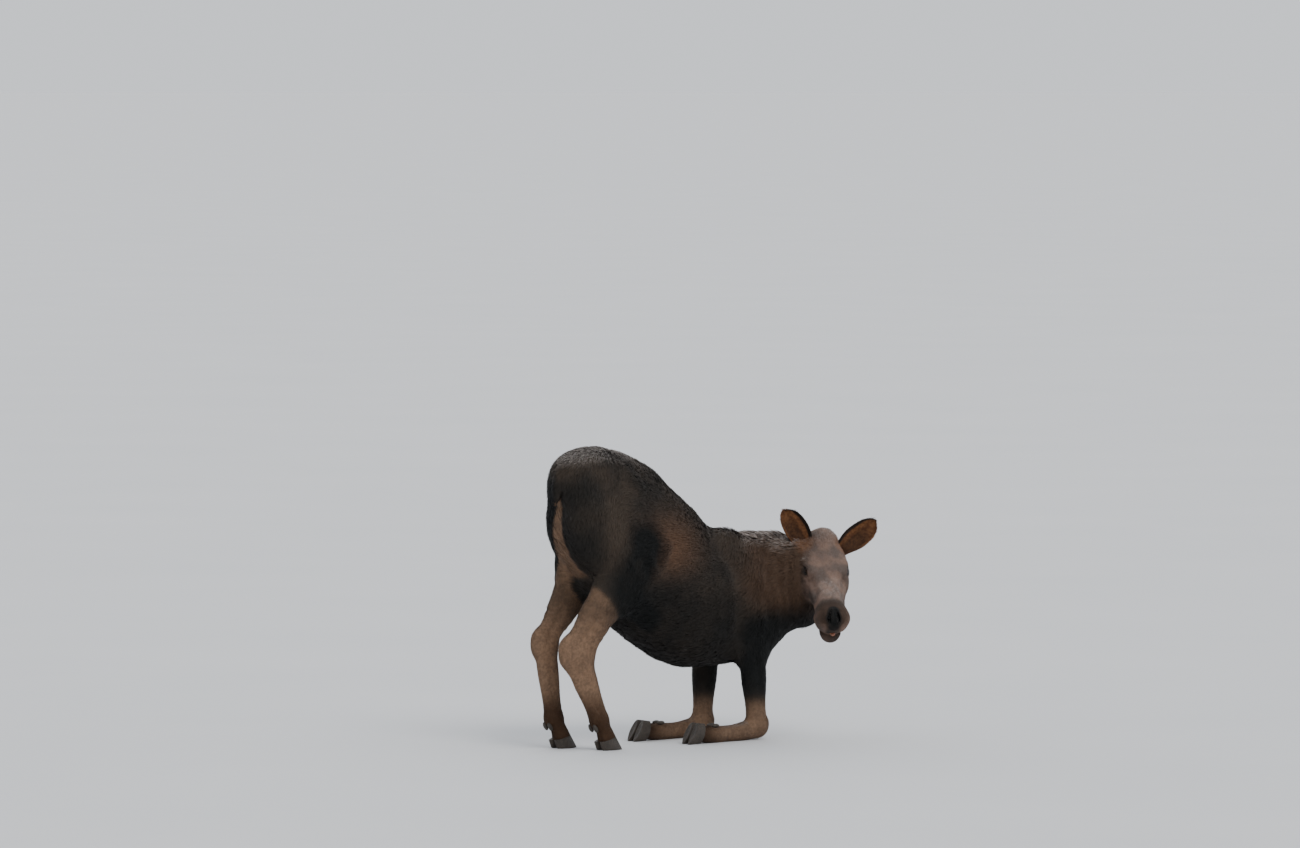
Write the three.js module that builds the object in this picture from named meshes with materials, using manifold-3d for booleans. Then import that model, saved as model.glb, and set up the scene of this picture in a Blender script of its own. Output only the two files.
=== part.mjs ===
// A moose calf, life size, resting on its front knees with its hind legs straight and its head turned back
// over its right shoulder. Sizes are in millimetres. The body is laid out with X forward, Y to its left and
// Z up, and the last group turns it to face -Y, with the origin on the floor under its middle.
//
// The flesh is described by fields: functions of a point that are negative inside the animal and zero at the
// tips of its coat. Each solid is carved from a field by rays cast outward from a line through the middle
// of that piece, and neighbouring solids are parted by thin plane cuts.
import * as THREE from "three";
import { mergeVertices } from "three/addons/utils/BufferGeometryUtils.js";
import Module from "manifold-3d";

const wasm = await Module();
wasm.setup();

// ---------------------------------------------------------------- driving sizes

const gap = 0.4; // between neighbouring solids
const sides = { left: 1, right: -1 };

// [forward, left, up, half-depth, half-width] along the middle of the trunk, from the rump to the brisket.
const trunkLine = [
  [215, 0, 1122, 222, 165],
  [345, 0, 978, 322, 205],
  [515, 0, 807, 339, 246],
  [700, 0, 653, 313, 240],
  [880, -4, 588, 260, 205],
  [1010, -14, 590, 215, 165],
];
const neckLine = [
  [985, -8, 708, 238, 142],
  [1100, -34, 706, 248, 124],
  [1165, -74, 694, 262, 114],
  [1222, -128, 702, 232, 104],
  [1262, -182, 704, 222, 96],
];

const hindLeg = {
  spread: 98, // from the midline to the hock and the foot
  stifleSpread: 140,
  fetlockHeight: 138,
  cannon: 330,
  shank: 450,
};
// Where each hind fetlock stands, and how far its bones lean back from upright, in degrees. ahead and behind are how
// much further the leg reaches at the stifle, at two places on the shank, at the hock and at two on the cannon.
const hindStance = {
  left: { fetlock: 55, cannonLean: 8, shankLean: -36, ahead: [0, 0, 0, 6, 12, 4], behind: [54, 12, 6, 8, 14, 4] },
  right: { fetlock: 160, cannonLean: 26, shankLean: -38, ahead: [0, 0, 42, 52, 36, 13], behind: [0, 32, 20, 4, 12, 4] },
};

const foreLeg = {
  kneeHeight: 62, // of the middle of the bent knee above the floor
  cannonHeight: 36,
  cannon: 262,
  pastern: 78,
};
const foreStance = {
  left: { elbow: [948, 128, 440], knee: 925 },
  right: { elbow: [1005, -130, 440], knee: 1035 },
};

// The hoof of one toe: the sole is flat, and the top slopes down towards the heel.
// `dewclaw` is where the little claw behind the fetlock sits, from the middle of the sole.
const hoof = { length: 112, width: 41, front: 62, heel: 36, slant: 26, cleft: 5, dewclaw: [-92, 17, 100] };

// The head's own frame has its origin in the skull, X along the bridge of the nose and Z out of the brow.
const headPose = { place: [1330, -240, 890], turn: -122, droop: 33, cheekSpace: 112 };
const skullLine = [
  [10, 0, -44, 104, 84],
  [90, 0, -66, 106, 97],
  [175, 0, -86, 96, 101],
  [250, 0, -97, 84, 80],
  [320, 0, -102, 75, 67],
  [385, 0, -104, 70, 68],
  [436, 0, -100, 58, 72],
];
const jawLine = [
  [60, 0, -132, 66, 66],
  [190, 0, -152, 56, 56],
  [320, 0, -170, 47, 46],
  [430, 0, -190, 46, 46],
];
const eye = { place: [188, 78, -28], radius: 20 };
const ear = { length: 205, width: 122, thickness: 13, cup: 62, sunk: 30 };
// Where each ear's root is, and how far it leans out from upright in degrees.
const earStance = {
  left: { root: [42, 82, -12], spread: 52 },
  right: { root: [44, -72, 4], spread: 33 },
};
const tongueTip = { place: [482, 2, -149], radii: [22, 13, 11] };

// The lines that the solids' rings are strung along. The head's is in the head's own frame.
const spines = {
  trunk: [[205, 0, 1090], [380, 0, 958], [560, 0, 838], [740, 0, 745], [920, 0, 700], [1160, -20, 745]],
  neck: [[900, 0, 704], [1060, -18, 735], [1190, -78, 768], [1280, -170, 800], [1325, -290, 826]],
  head: [[-30, 0, -52], [90, 0, -72], [250, 0, -104], [360, 0, -116], [440, 0, -124]],
};

// ---------------------------------------------------------------- fields of flesh

const at = (forward, left, up) => new THREE.Vector3(forward, left, up);
const radians = (degrees) => (degrees * Math.PI) / 180;
const mix = (a, b, share) => a + (b - a) * share;

// An egg-shaped mass with radii forward, sideways and upward, tipped nose down by `pitch` degrees.
function mass([cx, cy, cz], [rx, ry, rz], pitch = 0) {
  const cos = Math.cos(radians(pitch));
  const sin = Math.sin(radians(pitch));
  return (p) => {
    const dx = p.x - cx;
    const dz = p.z - cz;
    const u = (dx * cos - dz * sin) / rx;
    const v = (p.y - cy) / ry;
    const w = (dx * sin + dz * cos) / rz;
    const near = Math.hypot(u, v, w);
    const slope = Math.hypot(u / rx, v / ry, w / rz);
    return slope > 0 ? (near * (near - 1)) / slope : -Math.min(rx, ry, rz);
  };
}

// A limb along stations [forward, left, up, half-depth, half-width]; its widths lie along `sideways`.
function limb(stations, sideways = at(0, 1, 0), pieces = 4) {
  const curveOf = (pick) =>
    new THREE.CatmullRomCurve3(stations.map((s) => at(...pick(s))), false, "centripetal");
  const middle = curveOf((s) => s.slice(0, 3));
  const spans = stations.length - 1;
  const count = spans > 1 ? spans * pieces : 1;
  const line = Array.from({ length: count + 1 }, (_, i) => {
    const share = i / count;
    const span = Math.min(spans - 1, Math.floor(share * spans));
    const within = share * spans - span;
    const smooth = within * within * (3 - 2 * within);
    const c = middle.getPoint(share);
    const deep = mix(stations[span][3], stations[span + 1][3], smooth);
    const side = mix(stations[span][4], stations[span + 1][4], smooth);
    return [c.x, c.y, c.z, deep, side];
  });
  const { x: wx, y: wy, z: wz } = sideways.clone().normalize();
  return (p) => {
    let least = Infinity;
    for (let i = 0; i < count; i++) {
      const [ax, ay, az, aDeep, aSide] = line[i];
      const [bx, by, bz, bDeep, bSide] = line[i + 1];
      const ex = bx - ax;
      const ey = by - ay;
      const ez = bz - az;
      const along = ((p.x - ax) * ex + (p.y - ay) * ey + (p.z - az) * ez) / (ex * ex + ey * ey + ez * ez);
      const t = Math.min(1, Math.max(0, along));
      const dx = p.x - ax - t * ex;
      const dy = p.y - ay - t * ey;
      const dz = p.z - az - t * ez;
      const out = dx * wx + dy * wy + dz * wz;
      const rest = Math.sqrt(Math.max(0, dx * dx + dy * dy + dz * dz - out * out));
      const deep = mix(aDeep, bDeep, t);
      const side = mix(aSide, bSide, t);
      const value = (Math.hypot(out / side, rest / deep) - 1) * Math.min(deep, side);
      least = Math.min(least, value);
    }
    return least;
  };
}

// Fields melted together, with the creases between them filled over about `soft`.
function melt(soft, ...fields) {
  return (p) =>
    fields.reduce((sum, field) => {
      const value = field(p);
      const overlap = Math.max(0, soft - Math.abs(sum - value)) / soft;
      return Math.min(sum, value) - (overlap * overlap * soft) / 4;
    }, 1e6);
}

// ---------------------------------------------------------------- carving solids from fields

// How far a ray runs from inside a field to where the field reaches `level`.
function reach(field, from, direction, level) {
  const p = new THREE.Vector3();
  const valueAt = (r) => field(p.copy(direction).multiplyScalar(r).add(from)) - level;
  const longest = 700;
  let near = 0;
  let value = valueAt(0);
  let far = 0;
  while (value < 0 && far < longest) {
    near = far;
    far += Math.min(40, Math.max(3, -value * 0.7));
    value = valueAt(far);
  }
  for (let i = 0; i < 12; i++) {
    const middle = (near + far) / 2;
    if (valueAt(middle) < 0) near = middle;
    else far = middle;
  }
  return Math.max(0.5, (near + far) / 2);
}

// A closed solid whose rings follow the field round a spine of [forward, left, up] points.
// rings: how many rings there are on each span between two points of the spine. Each end is flat unless
// `round` says how many rings its rounded end has.
function carve(field, spine, { rings, around, up = at(0, 0, 1), round = [0, 0], level = 0 }) {
  const points = spine.map(([x, y, z]) => at(x, y, z));
  const curve = new THREE.CatmullRomCurve3(points, false, "centripetal");
  const rows = [];
  const addRing = (share, lean, count = around) => {
    const centre = curve.getPoint(share);
    const tangent = curve.getTangent(share);
    const side = new THREE.Vector3().crossVectors(up, tangent).normalize();
    const top = new THREE.Vector3().crossVectors(tangent, side);
    rows.push(
      Array.from({ length: count }, (_, i) => {
        const angle = (i / around) * 2 * Math.PI;
        const ray = top.clone().multiplyScalar(Math.cos(angle)).addScaledVector(side, Math.sin(angle));
        ray.multiplyScalar(Math.cos(radians(lean))).addScaledVector(tangent, Math.sin(radians(lean)));
        return centre.clone().addScaledVector(ray, reach(field, centre, ray, level));
      }),
    );
  };
  if (round[0] > 0) addRing(0, -90, 1);
  else rows.push([curve.getPoint(0)]);
  for (let i = 1; i < round[0]; i++) addRing(0, -90 + (i * 90) / round[0]);
  addRing(0, 0);
  rings.forEach((count, span) => {
    for (let i = 1; i <= count; i++) addRing((span + i / count) / rings.length, 0);
  });
  for (let i = round[1] - 1; i > 0; i--) addRing(1, 90 - (i * 90) / round[1]);
  if (round[1] > 0) addRing(1, 90, 1);
  else rows.push([curve.getPoint(1)]);
  return solidOf(loftOf(rows));
}

// Joins rows of points into a closed surface. The first and last rows may be single points, or flat rims.
function loftOf(rows) {
  const index = [];
  let start = 0;
  for (let r = 0; r + 1 < rows.length; r++) {
    const here = rows[r].length;
    const next = rows[r + 1].length;
    for (let i = 0; i < Math.max(here, next); i++) {
      const a = start + (i % here);
      const b = start + ((i + 1) % here);
      const c = start + here + (i % next);
      const d = start + here + ((i + 1) % next);
      if (here > 1) index.push(a, b, d);
      if (next > 1) index.push(a, d, c);
    }
    start += here;
  }
  const geometry = new THREE.BufferGeometry();
  const positions = rows.flat().flatMap((p) => [p.x, p.y, p.z]);
  geometry.setAttribute("position", new THREE.Float32BufferAttribute(positions, 3));
  geometry.setIndex(index);
  return geometry;
}

function solidOf(geometry) {
  const bare = geometry.clone();
  bare.deleteAttribute("normal");
  bare.deleteAttribute("uv");
  const merged = mergeVertices(bare, 1e-3);
  const triVerts = new Uint32Array(merged.index.array);
  const vertProperties = merged.attributes.position.array;
  const solid = new wasm.Manifold(new wasm.Mesh({ numProp: 3, vertProperties, triVerts }));
  if (solid.volume() > 0) return solid;
  for (let i = 0; i < triVerts.length; i += 3) {
    const first = triVerts[i];
    triVerts[i] = triVerts[i + 1];
    triVerts[i + 1] = first;
  }
  return new wasm.Manifold(new wasm.Mesh({ numProp: 3, vertProperties, triVerts }));
}

// A block that fills everything on the side of a plane that `facing` points to.
function halfSpace(point, facing, clear) {
  const size = 4000;
  const normal = facing.clone().normalize();
  const block = new THREE.BoxGeometry(size, size, size);
  const turn = new THREE.Quaternion().setFromUnitVectors(at(0, 0, 1), normal);
  block.applyQuaternion(turn);
  const centre = point.clone().addScaledVector(normal, size / 2 + clear);
  block.translate(centre.x, centre.y, centre.z);
  return solidOf(block);
}

// A cut is a plane: a point on it, and the way that it faces.
const cut = (point, facing) => ({ point: at(...point), facing: at(...facing) });
const ahead = (solid, { point, facing }) => solid.intersect(halfSpace(point, facing, gap / 2));
const behind = (solid, { point, facing }) =>
  solid.intersect(halfSpace(point, facing.clone().negate(), gap / 2));

const model = new THREE.Group();

// Adds a solid to the model as a named mesh, with only its largest body kept.
function add(name, solid, { color, roughness = 0.9, metalness = 0 }) {
  const { vertProperties, triVerts } = biggest(solid).getMesh();
  const geometry = new THREE.BufferGeometry();
  geometry.setAttribute("position", new THREE.Float32BufferAttribute(vertProperties, 3));
  geometry.setIndex(Array.from(triVerts));
  geometry.computeVertexNormals();
  const mesh = new THREE.Mesh(geometry, new THREE.MeshStandardMaterial({ color, roughness, metalness }));
  mesh.name = name;
  model.add(mesh);
}

// Of a solid's separate bodies, the one with the most volume.
function biggest(solid) {
  return solid.decompose().reduce((best, next) => (next.volume() > best.volume() ? next : best));
}

// ---------------------------------------------------------------- the skeleton's turning points

// Where a bone of some length ends that leans back from upright by `lean` degrees.
const upFrom = ([x, y, z], length, lean) => [
  x - length * Math.sin(radians(lean)),
  y,
  z + length * Math.cos(radians(lean)),
];

const hindJoints = {};
const foreJoints = {};
for (const [name, side] of Object.entries(sides)) {
  const { fetlock, cannonLean, shankLean } = hindStance[name];
  const foot = [fetlock, side * hindLeg.spread, hindLeg.fetlockHeight];
  const hock = upFrom(foot, hindLeg.cannon, cannonLean);
  const stifle = upFrom(hock, hindLeg.shank, shankLean);
  stifle[1] = side * hindLeg.stifleSpread;
  hindJoints[name] = { foot, hock, stifle, cannonLean, shankLean };

  const { elbow, knee } = foreStance[name];
  const y = elbow[1];
  foreJoints[name] = {
    elbow,
    knee: [knee, y, foreLeg.kneeHeight],
    fetlock: [knee - foreLeg.cannon, y, foreLeg.cannonHeight],
    toe: [knee - foreLeg.cannon - foreLeg.pastern, y, foreLeg.cannonHeight + 8],
  };
}

// ---------------------------------------------------------------- the animal's fields

function hindLegFields(name) {
  const { foot, hock, stifle } = hindJoints[name];
  const side = sides[name];
  const toward = (a, b, share) => a.map((value, i) => mix(value, b[i], share));
  const { ahead, behind } = hindStance[name];
  const grown = ([x, y, z], i, deep, wide) => {
    const shift = (ahead[i] - behind[i]) / 2;
    return [x + shift, y, z, deep + (ahead[i] + behind[i]) / 2, wide];
  };
  const thigh = limb([
    [178, side * 88, 1150, 140, 66],
    [204, side * 106, 1010, 158, 76],
    [mix(214, stifle[0], 0.5), side * 122, 900, 126, 78],
    grown(stifle, 0, 106, 68),
    grown(toward(stifle, hock, 0.5), 1, 80, 50),
    grown(toward(stifle, hock, 0.84), 2, 52, 36),
    grown(hock, 3, 54, 38),
  ]);
  const hockPoint = mass([hock[0] - 34, hock[1], hock[2] + 30], [34, 26, 58], 18);
  const cannon = limb([
    grown(hock, 3, 52, 38),
    grown(toward(hock, foot, 0.3), 4, 44, 35),
    grown(toward(hock, foot, 0.8), 5, 41, 33),
    [...foot, 46, 39],
  ]);
  const pastern = limb([
    [...foot, 45, 39],
    [foot[0] + 24, foot[1], foot[2] - 42, 36, 36],
    [foot[0] + 46, foot[1], 44, 42, 40],
  ]);
  return { thigh, leg: melt(24, thigh, hockPoint, melt(12, cannon, pastern)) };
}

// The upper arm is part of the chest; the bent leg below it is two limbs that meet at the knee.
function foreLegFields(name) {
  const { elbow, knee, fetlock, toe } = foreJoints[name];
  const side = sides[name];
  const point = [1075, side * 140, 650];
  const shoulder = limb([
    [880, side * 108, 880, 80, 40],
    [985, side * 138, 760, 118, 56],
    [...point, 112, 60],
  ]);
  const upperArm = limb([
    [...point, 108, 60],
    [mix(point[0], elbow[0], 0.6), side * 136, 540, 110, 62],
    [...elbow, 88, 55],
  ]);
  const down = (share) => elbow.map((value, i) => mix(value, knee[i], share));
  const forearm = limb([
    [...elbow, 90, 55],
    [...down(0.35), 68, 50],
    [...down(0.8), 49, 43],
    [...knee, 54, 46],
  ]);
  const cannon = limb([
    [...knee, 54, 46],
    [knee[0] - 70, knee[1], foreLeg.cannonHeight + 6, 45, 41],
    [mix(knee[0], fetlock[0], 0.6), knee[1], foreLeg.cannonHeight, 38, 35],
    [...fetlock, 41, 39],
    [...toe, 36, 38],
  ]);
  return { arm: melt(50, shoulder, upperArm), forearm, cannon };
}

const hindFields = { left: hindLegFields("left"), right: hindLegFields("right") };
const foreFields = { left: foreLegFields("left"), right: foreLegFields("right") };
const tailField = limb([
  [44, 0, 1240, 46, 34],
  [10, 3, 1180, 36, 30],
  [0, 4, 1122, 25, 23],
]);

// The head's frame, and its fields moved into the body's frame.
const headFrame = new THREE.Matrix4()
  .makeRotationFromEuler(new THREE.Euler(0, radians(headPose.droop), radians(headPose.turn), "ZYX"))
  .setPosition(...headPose.place);
const headInverse = headFrame.clone().invert();
const onHead = (point) => at(...point).applyMatrix4(headFrame);
const inHeadFrame = (field) => {
  const local = new THREE.Vector3();
  return (p) => field(local.copy(p).applyMatrix4(headInverse));
};

const browAndCheeks = (side) =>
  melt(
    20,
    mass([168, side * 74, 0], [52, 26, 20], 8), // brow over the eye
    mass([150, side * 66, -98], [92, 34, 62], 14), // cheek
  );
const skull = limb(skullLine);
const muzzle = mass([448, 0, -94], [66, 74, 57], 6);
const poll = mass([28, 0, 20], [58, 52, 52], 20);
const upperHead = inHeadFrame(melt(36, skull, muzzle, poll, browAndCheeks(1), browAndCheeks(-1)));
const jaw = inHeadFrame(limb(jawLine));
const headField = melt(26, upperHead, jaw);

const croup = mass([165, 0, 1262], [150, 96, 84], 6);
const trunkField = melt(50, limb(trunkLine), croup);
const neckField = limb(neckLine, at(-0.35, 1, 0));
const backOfHead = inHeadFrame(melt(36, limb(skullLine.slice(0, 3)), poll));
const arms = melt(30, foreFields.left.arm, foreFields.right.arm);
const thighs = melt(20, hindFields.left.thigh, hindFields.right.thigh);
const bodyField = melt(46, trunkField, neckField, arms, thighs);
const neckAndPoll = melt(46, bodyField, backOfHead);

// ---------------------------------------------------------------- where the pieces are parted

// A direction given across the ground as how far it goes along the head and to the head's left.
const besideHead = (along, left) =>
  at(along, left, 0).applyAxisAngle(at(0, 0, 1), radians(headPose.turn));

const cuts = {
  rump: cut([398, 0, 800], [0.951, 0, -0.31]), // between the rump and the belly
  chest: cut([705, 0, 680], [0.965, 0, -0.26]), // between the belly and the chest
  neck: cut([1000, 0, 690], [0.93, -0.05, 0.36]), // between the chest and the neck
  head: cut(headPose.place, besideHead(0.93, 0.37).toArray()), // between the neck and the head
  floor: cut([0, 0, -gap / 2], [0, 0, 1]),
};

// The space that a leg's top fills: below a slanting plane, outside an upright one and ahead of another.
const elbowDepth = 101;
const legRoom = {
  thigh: { inner: 24, back: () => -200, point: [200, 60, 985], facing: [0.1, 0.5, -0.8] },
  arm: {
    inner: 62,
    back: (name) => foreStance[name].elbow[0] - elbowDepth,
    point: [975, 60, 412],
    facing: [0.17, 0, -0.985],
  },
};
function roomFor(part, name, clear) {
  const side = sides[name];
  const { inner, back, point, facing } = legRoom[part];
  const mirrored = ([x, y, z]) => at(x, side * y, z);
  const below = halfSpace(mirrored(point), mirrored(facing), clear);
  const outside = halfSpace(at(0, side * inner, 0), at(0, side, 0), clear);
  return below.intersect(outside).intersect(halfSpace(at(back(name), 0, 0), at(1, 0, 0), clear));
}

// The space that the head fills: ahead of its own cut, and to the left of a plane beside its right cheek.
function roomForHead(clear) {
  const cheek = onHead([0, 0, 0]).addScaledVector(besideHead(0, 1), -headPose.cheekSpace);
  const { point, facing } = cuts.head;
  return halfSpace(point, facing, clear).intersect(halfSpace(cheek, besideHead(0, 1), clear));
}

// The lower jaw is what lies below the line of the mouth.
const mouth = { front: [500, -150], corner: [150, -154] };
const belowMouth = at(mouth.front[1] - mouth.corner[1], 0, mouth.corner[0] - mouth.front[0]);
const mouthCut = cut(
  onHead([mouth.front[0], 0, mouth.front[1]]).toArray(),
  belowMouth.transformDirection(headFrame).toArray(),
);

// ---------------------------------------------------------------- colours

const coat = {
  dark: { color: 0x2c2621 },
  back: { color: 0x41372f },
  shoulder: { color: 0x55463a },
  face: { color: 0x6f625a },
  pale: { color: 0x9a8570 },
  shin: { color: 0x4a3f37 },
};
const earInside = { color: 0x96643c };
const horn = { color: 0x2a2623, roughness: 0.5 };
const wetEye = { color: 0x120c09, roughness: 0.1 };
const tongueFlesh = { color: 0xb5684c, roughness: 0.5 };

// ---------------------------------------------------------------- trunk, neck, head and tail

function trunkSolid(level) {
  return carve(bodyField, spines.trunk, { rings: [3, 3, 2, 3, 4], around: 32, round: [5, 0], level });
}

function neckSolid(level) {
  return carve(neckAndPoll, spines.neck, { rings: [2, 4, 4, 4], around: 22, level });
}

// Takes the room for both legs of a pair out of a solid.
const clearOf = (part, solid) =>
  Object.keys(sides).reduce((rest, name) => rest.subtract(roomFor(part, name, -gap / 2)), solid);

function buildTrunk() {
  const trunk = trunkSolid(0);
  add("rump", clearOf("thigh", behind(trunk, cuts.rump)), coat.back);
  add("belly", behind(ahead(trunk, cuts.rump), cuts.chest), coat.back);
  add("chest", clearOf("arm", behind(ahead(trunk, cuts.chest), cuts.neck)), coat.shoulder);
  const neck = clearOf("arm", ahead(neckSolid(0), cuts.neck));
  add("neck", neck.subtract(roomForHead(-gap / 2)), coat.shoulder);

  const tailOptions = { rings: [3], around: 10, up: at(-1, 0, 0), round: [2, 3] };
  const tail = carve(tailField, [[36, 0, 1226], [1, 4, 1126]], tailOptions);
  add("tail", tail.subtract(trunkSolid(gap)), coat.dark);
}

function headSolid(level) {
  const spine = spines.head.map((point) => onHead(point).toArray());
  return carve(headField, spine, { rings: [3, 6, 3, 3], around: 24, round: [2, 4], level });
}

function eyeSolid(side, grow) {
  const [x, y, z] = eye.place;
  const ball = new THREE.SphereGeometry(eye.radius + grow, 10, 8);
  ball.translate(x, side * y, z);
  return solidOf(ball.applyMatrix4(headFrame));
}

function buildHead() {
  const whole = ahead(headSolid(0), cuts.head);
  const wholeAndGap = headSolid(gap);
  add("lower_jaw", ahead(whole, mouthCut), coat.face);

  const tongue = new THREE.SphereGeometry(1, 10, 6);
  tongue.scale(...tongueTip.radii);
  tongue.translate(...tongueTip.place);
  add("tongue_tip", solidOf(tongue.applyMatrix4(headFrame)).subtract(wholeAndGap), tongueFlesh);

  let head = behind(whole, mouthCut);
  for (const [name, side] of Object.entries(sides)) {
    add(`eye_${name}`, eyeSolid(side, 0), wetEye);
    head = head.subtract(eyeSolid(side, gap));
    add(`ear_${name}`, earSolid(side).subtract(wholeAndGap).subtract(neckSolid(gap)), earInside);
  }
  add("head", head, coat.face);
}

// An ear is a cupped leaf: rows of points run across its back and return across its hollow.
function earSolid(side) {
  const rowsAlong = 10;
  const pointsAcross = 7;
  const axis = at(-Math.sin(radians(headPose.droop)), 0, Math.cos(radians(headPose.droop)));
  const stance = side > 0 ? earStance.left : earStance.right;
  const spread = radians(stance.spread);
  axis.multiplyScalar(Math.cos(spread));
  axis.addScaledVector(at(0, side, 0), Math.sin(spread));
  const front = at(Math.cos(radians(headPose.droop)), 0, Math.sin(radians(headPose.droop)));
  const across = new THREE.Vector3().crossVectors(axis, front).normalize();
  const root = at(...stance.root);
  const rows = [];
  for (let i = 0; i <= rowsAlong; i++) {
    const share = i / rowsAlong;
    const along = mix(-ear.sunk, ear.length, share);
    const wide = (ear.width / 2) * earWidth(share);
    const deep = Math.max(2.5, ear.thickness * (1 - 0.55 * share)) / 2;
    const bend = radians(ear.cup) * (1 - 0.45 * share);
    const pointAt = (t, offset) => {
      const angle = t * bend;
      const radius = wide / Math.sin(bend);
      const sideways = (radius + offset) * Math.sin(angle);
      const backward = (radius + offset) * Math.cos(angle) - radius * Math.cos(bend);
      return root
        .clone()
        .addScaledVector(axis, along)
        .addScaledVector(across, sideways)
        .addScaledVector(front, -backward)
        .applyMatrix4(headFrame);
    };
    const row = [];
    const steps = Array.from({ length: pointsAcross }, (_, j) => mix(-1, 1, j / (pointsAcross - 1)));
    for (const t of steps) row.push(pointAt(t, deep));
    for (const t of steps.toReversed()) row.push(pointAt(t, -deep));
    rows.push(row);
  }
  const middleOf = (row) => row.reduce((sum, p) => sum.add(p), at(0, 0, 0)).divideScalar(row.length);
  rows.unshift([middleOf(rows[0])]);
  rows.push([middleOf(rows.at(-1))]);
  return solidOf(loftOf(rows));
}

// An ear's width along its length, as a share of the widest: narrow root, full middle and rounded tip.
function earWidth(share) {
  const rise = 0.5 + 0.5 * Math.sin(Math.min(1, share / 0.5) * Math.PI - Math.PI / 2);
  const fall = share < 0.5 ? 1 : Math.sqrt(Math.max(0.03, 1 - ((share - 0.5) / 0.5) ** 2.4));
  return (0.52 + 0.48 * rise) * fall;
}

// ---------------------------------------------------------------- legs and feet

function clawSolid(side, foot) {
  const { length, width, front, heel, slant, cleft } = hoof;
  const around = 12;
  const levels = [0, 0.5, 1];
  const rows = levels.map((level) =>
    Array.from({ length: around }, (_, i) => {
      const angle = (i / around) * 2 * Math.PI;
      const lead = Math.cos(angle);
      const taper = 1 - 0.42 * Math.max(0, lead) ** 2;
      const shrink = mix(1, 0.78, level);
      const x = (length / 2) * lead * shrink - slant * level;
      const bulge = Math.sin(angle) > 0 ? 1 : 0.72;
      const y = side * ((width / 2) * Math.sin(angle) * taper * bulge + width / 2 - 3 + cleft / 2);
      const top = mix(heel, front, (lead + 1) / 2);
      return at(x, y, level * top).applyMatrix4(foot);
    }),
  );
  const middleOf = (row) => row.reduce((sum, p) => sum.add(p), at(0, 0, 0)).divideScalar(row.length);
  rows.unshift([middleOf(rows[0])]);
  rows.push([middleOf(rows.at(-1))]);
  return solidOf(loftOf(rows));
}

function dewclawSolid(foot, side) {
  const shape = new THREE.SphereGeometry(1, 6, 4);
  shape.scale(9, 11, 21);
  shape.rotateY(radians(-30));
  shape.translate(hoof.dewclaw[0], side * hoof.dewclaw[1], hoof.dewclaw[2]);
  return solidOf(shape.applyMatrix4(foot));
}

// The plane through a hoof's top, facing out of the hoof. `foot` places the middle of the sole.
function coronetOf(foot) {
  const slope = Math.atan2(hoof.front - hoof.heel, hoof.length);
  const point = at(-hoof.slant, 0, (hoof.front + hoof.heel) / 2).applyMatrix4(foot);
  const facing = at(-Math.sin(slope), 0, Math.cos(slope)).transformDirection(foot);
  return cut(point.toArray(), facing.toArray());
}

// Adds a pastern with its two claws and two dewclaws.
function addFoot(leg, side, foot, pastern, pasternAndGap) {
  const coronet = coronetOf(foot);
  add(`${leg}_pastern`, ahead(pastern, coronet), coat.shin);
  for (const [claw, outward] of [["outer", side], ["inner", -side]]) {
    add(`${leg}_hoof_${claw}`, ahead(behind(clawSolid(outward, foot), coronet), cuts.floor), horn);
    add(`${leg}_dewclaw_${claw}`, dewclawSolid(foot, outward).subtract(pasternAndGap), horn);
  }
}

// Where a hind leg's pieces are parted: across the shank below the stifle, at the hock and at the fetlock.
function hindCuts(name) {
  const { foot, hock, stifle } = hindJoints[name];
  const shankAxis = at(...hock).sub(at(...stifle)).normalize();
  const cannonAxis = at(...foot).sub(at(...hock)).normalize();
  const below = stifle.map((value, i) => mix(value, hock[i], 0.3));
  return {
    stifle: cut(below, shankAxis.toArray()),
    hock: cut([hock[0] - 8, 0, hock[2] + 26], shankAxis.clone().add(cannonAxis).toArray()),
    fetlock: cut([foot[0], 0, foot[2] + 40], cannonAxis.toArray()),
    cannonAxis,
  };
}

function buildHindLeg(name) {
  const side = sides[name];
  const leg = `hind_${name}`;
  const { foot, hock, stifle } = hindJoints[name];
  const along = (share) => hock.map((value, i) => mix(stifle[i], value, share));
  const parts = hindCuts(name);
  const field = hindFields[name].leg;

  const thighSpine = [[185, side * 92, 1090], [195, side * 112, 930], [190, side * 122, 780], along(0.62)];
  const thighOptions = { rings: [3, 5, 4], around: 18, up: at(1, 0, 0) };
  const thigh = carve(melt(46, bodyField, field), thighSpine, thighOptions);
  const inRoom = thigh.intersect(roomFor("thigh", name, gap / 2));
  add(`${leg}_thigh`, behind(behind(inRoom, cuts.rump), parts.stifle), coat.dark);

  const shank = carve(field, [along(0.05), along(1.05)], { rings: [7], around: 14, up: at(1, 0, 0.5) });
  add(`${leg}_shank`, behind(ahead(shank, parts.stifle), parts.hock), coat.pale);

  const cannonTop = hock.map((value, i) => value - parts.cannonAxis.getComponent(i) * 40);
  const cannonOptions = { rings: [7], around: 12, up: at(1, 0, 0), round: [2, 0] };
  const cannon = carve(field, [cannonTop, foot], cannonOptions);
  add(`${leg}_cannon`, behind(ahead(cannon, parts.hock), parts.fetlock), coat.pale);

  const pasternSpine = [
    [foot[0] - 12, foot[1], foot[2] + 62],
    [foot[0] + 10, foot[1], foot[2]],
    [foot[0] + 46, foot[1], 26],
  ];
  const pastern = (level) => {
    const solid = carve(field, pasternSpine, { rings: [2, 3], around: 12, up: at(1, 0, 0), level });
    return ahead(solid, parts.fetlock);
  };
  const sole = new THREE.Matrix4().makeTranslation(foot[0] + 60, foot[1], 0);
  addFoot(leg, side, sole, pastern(0), pastern(gap));
}

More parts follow.
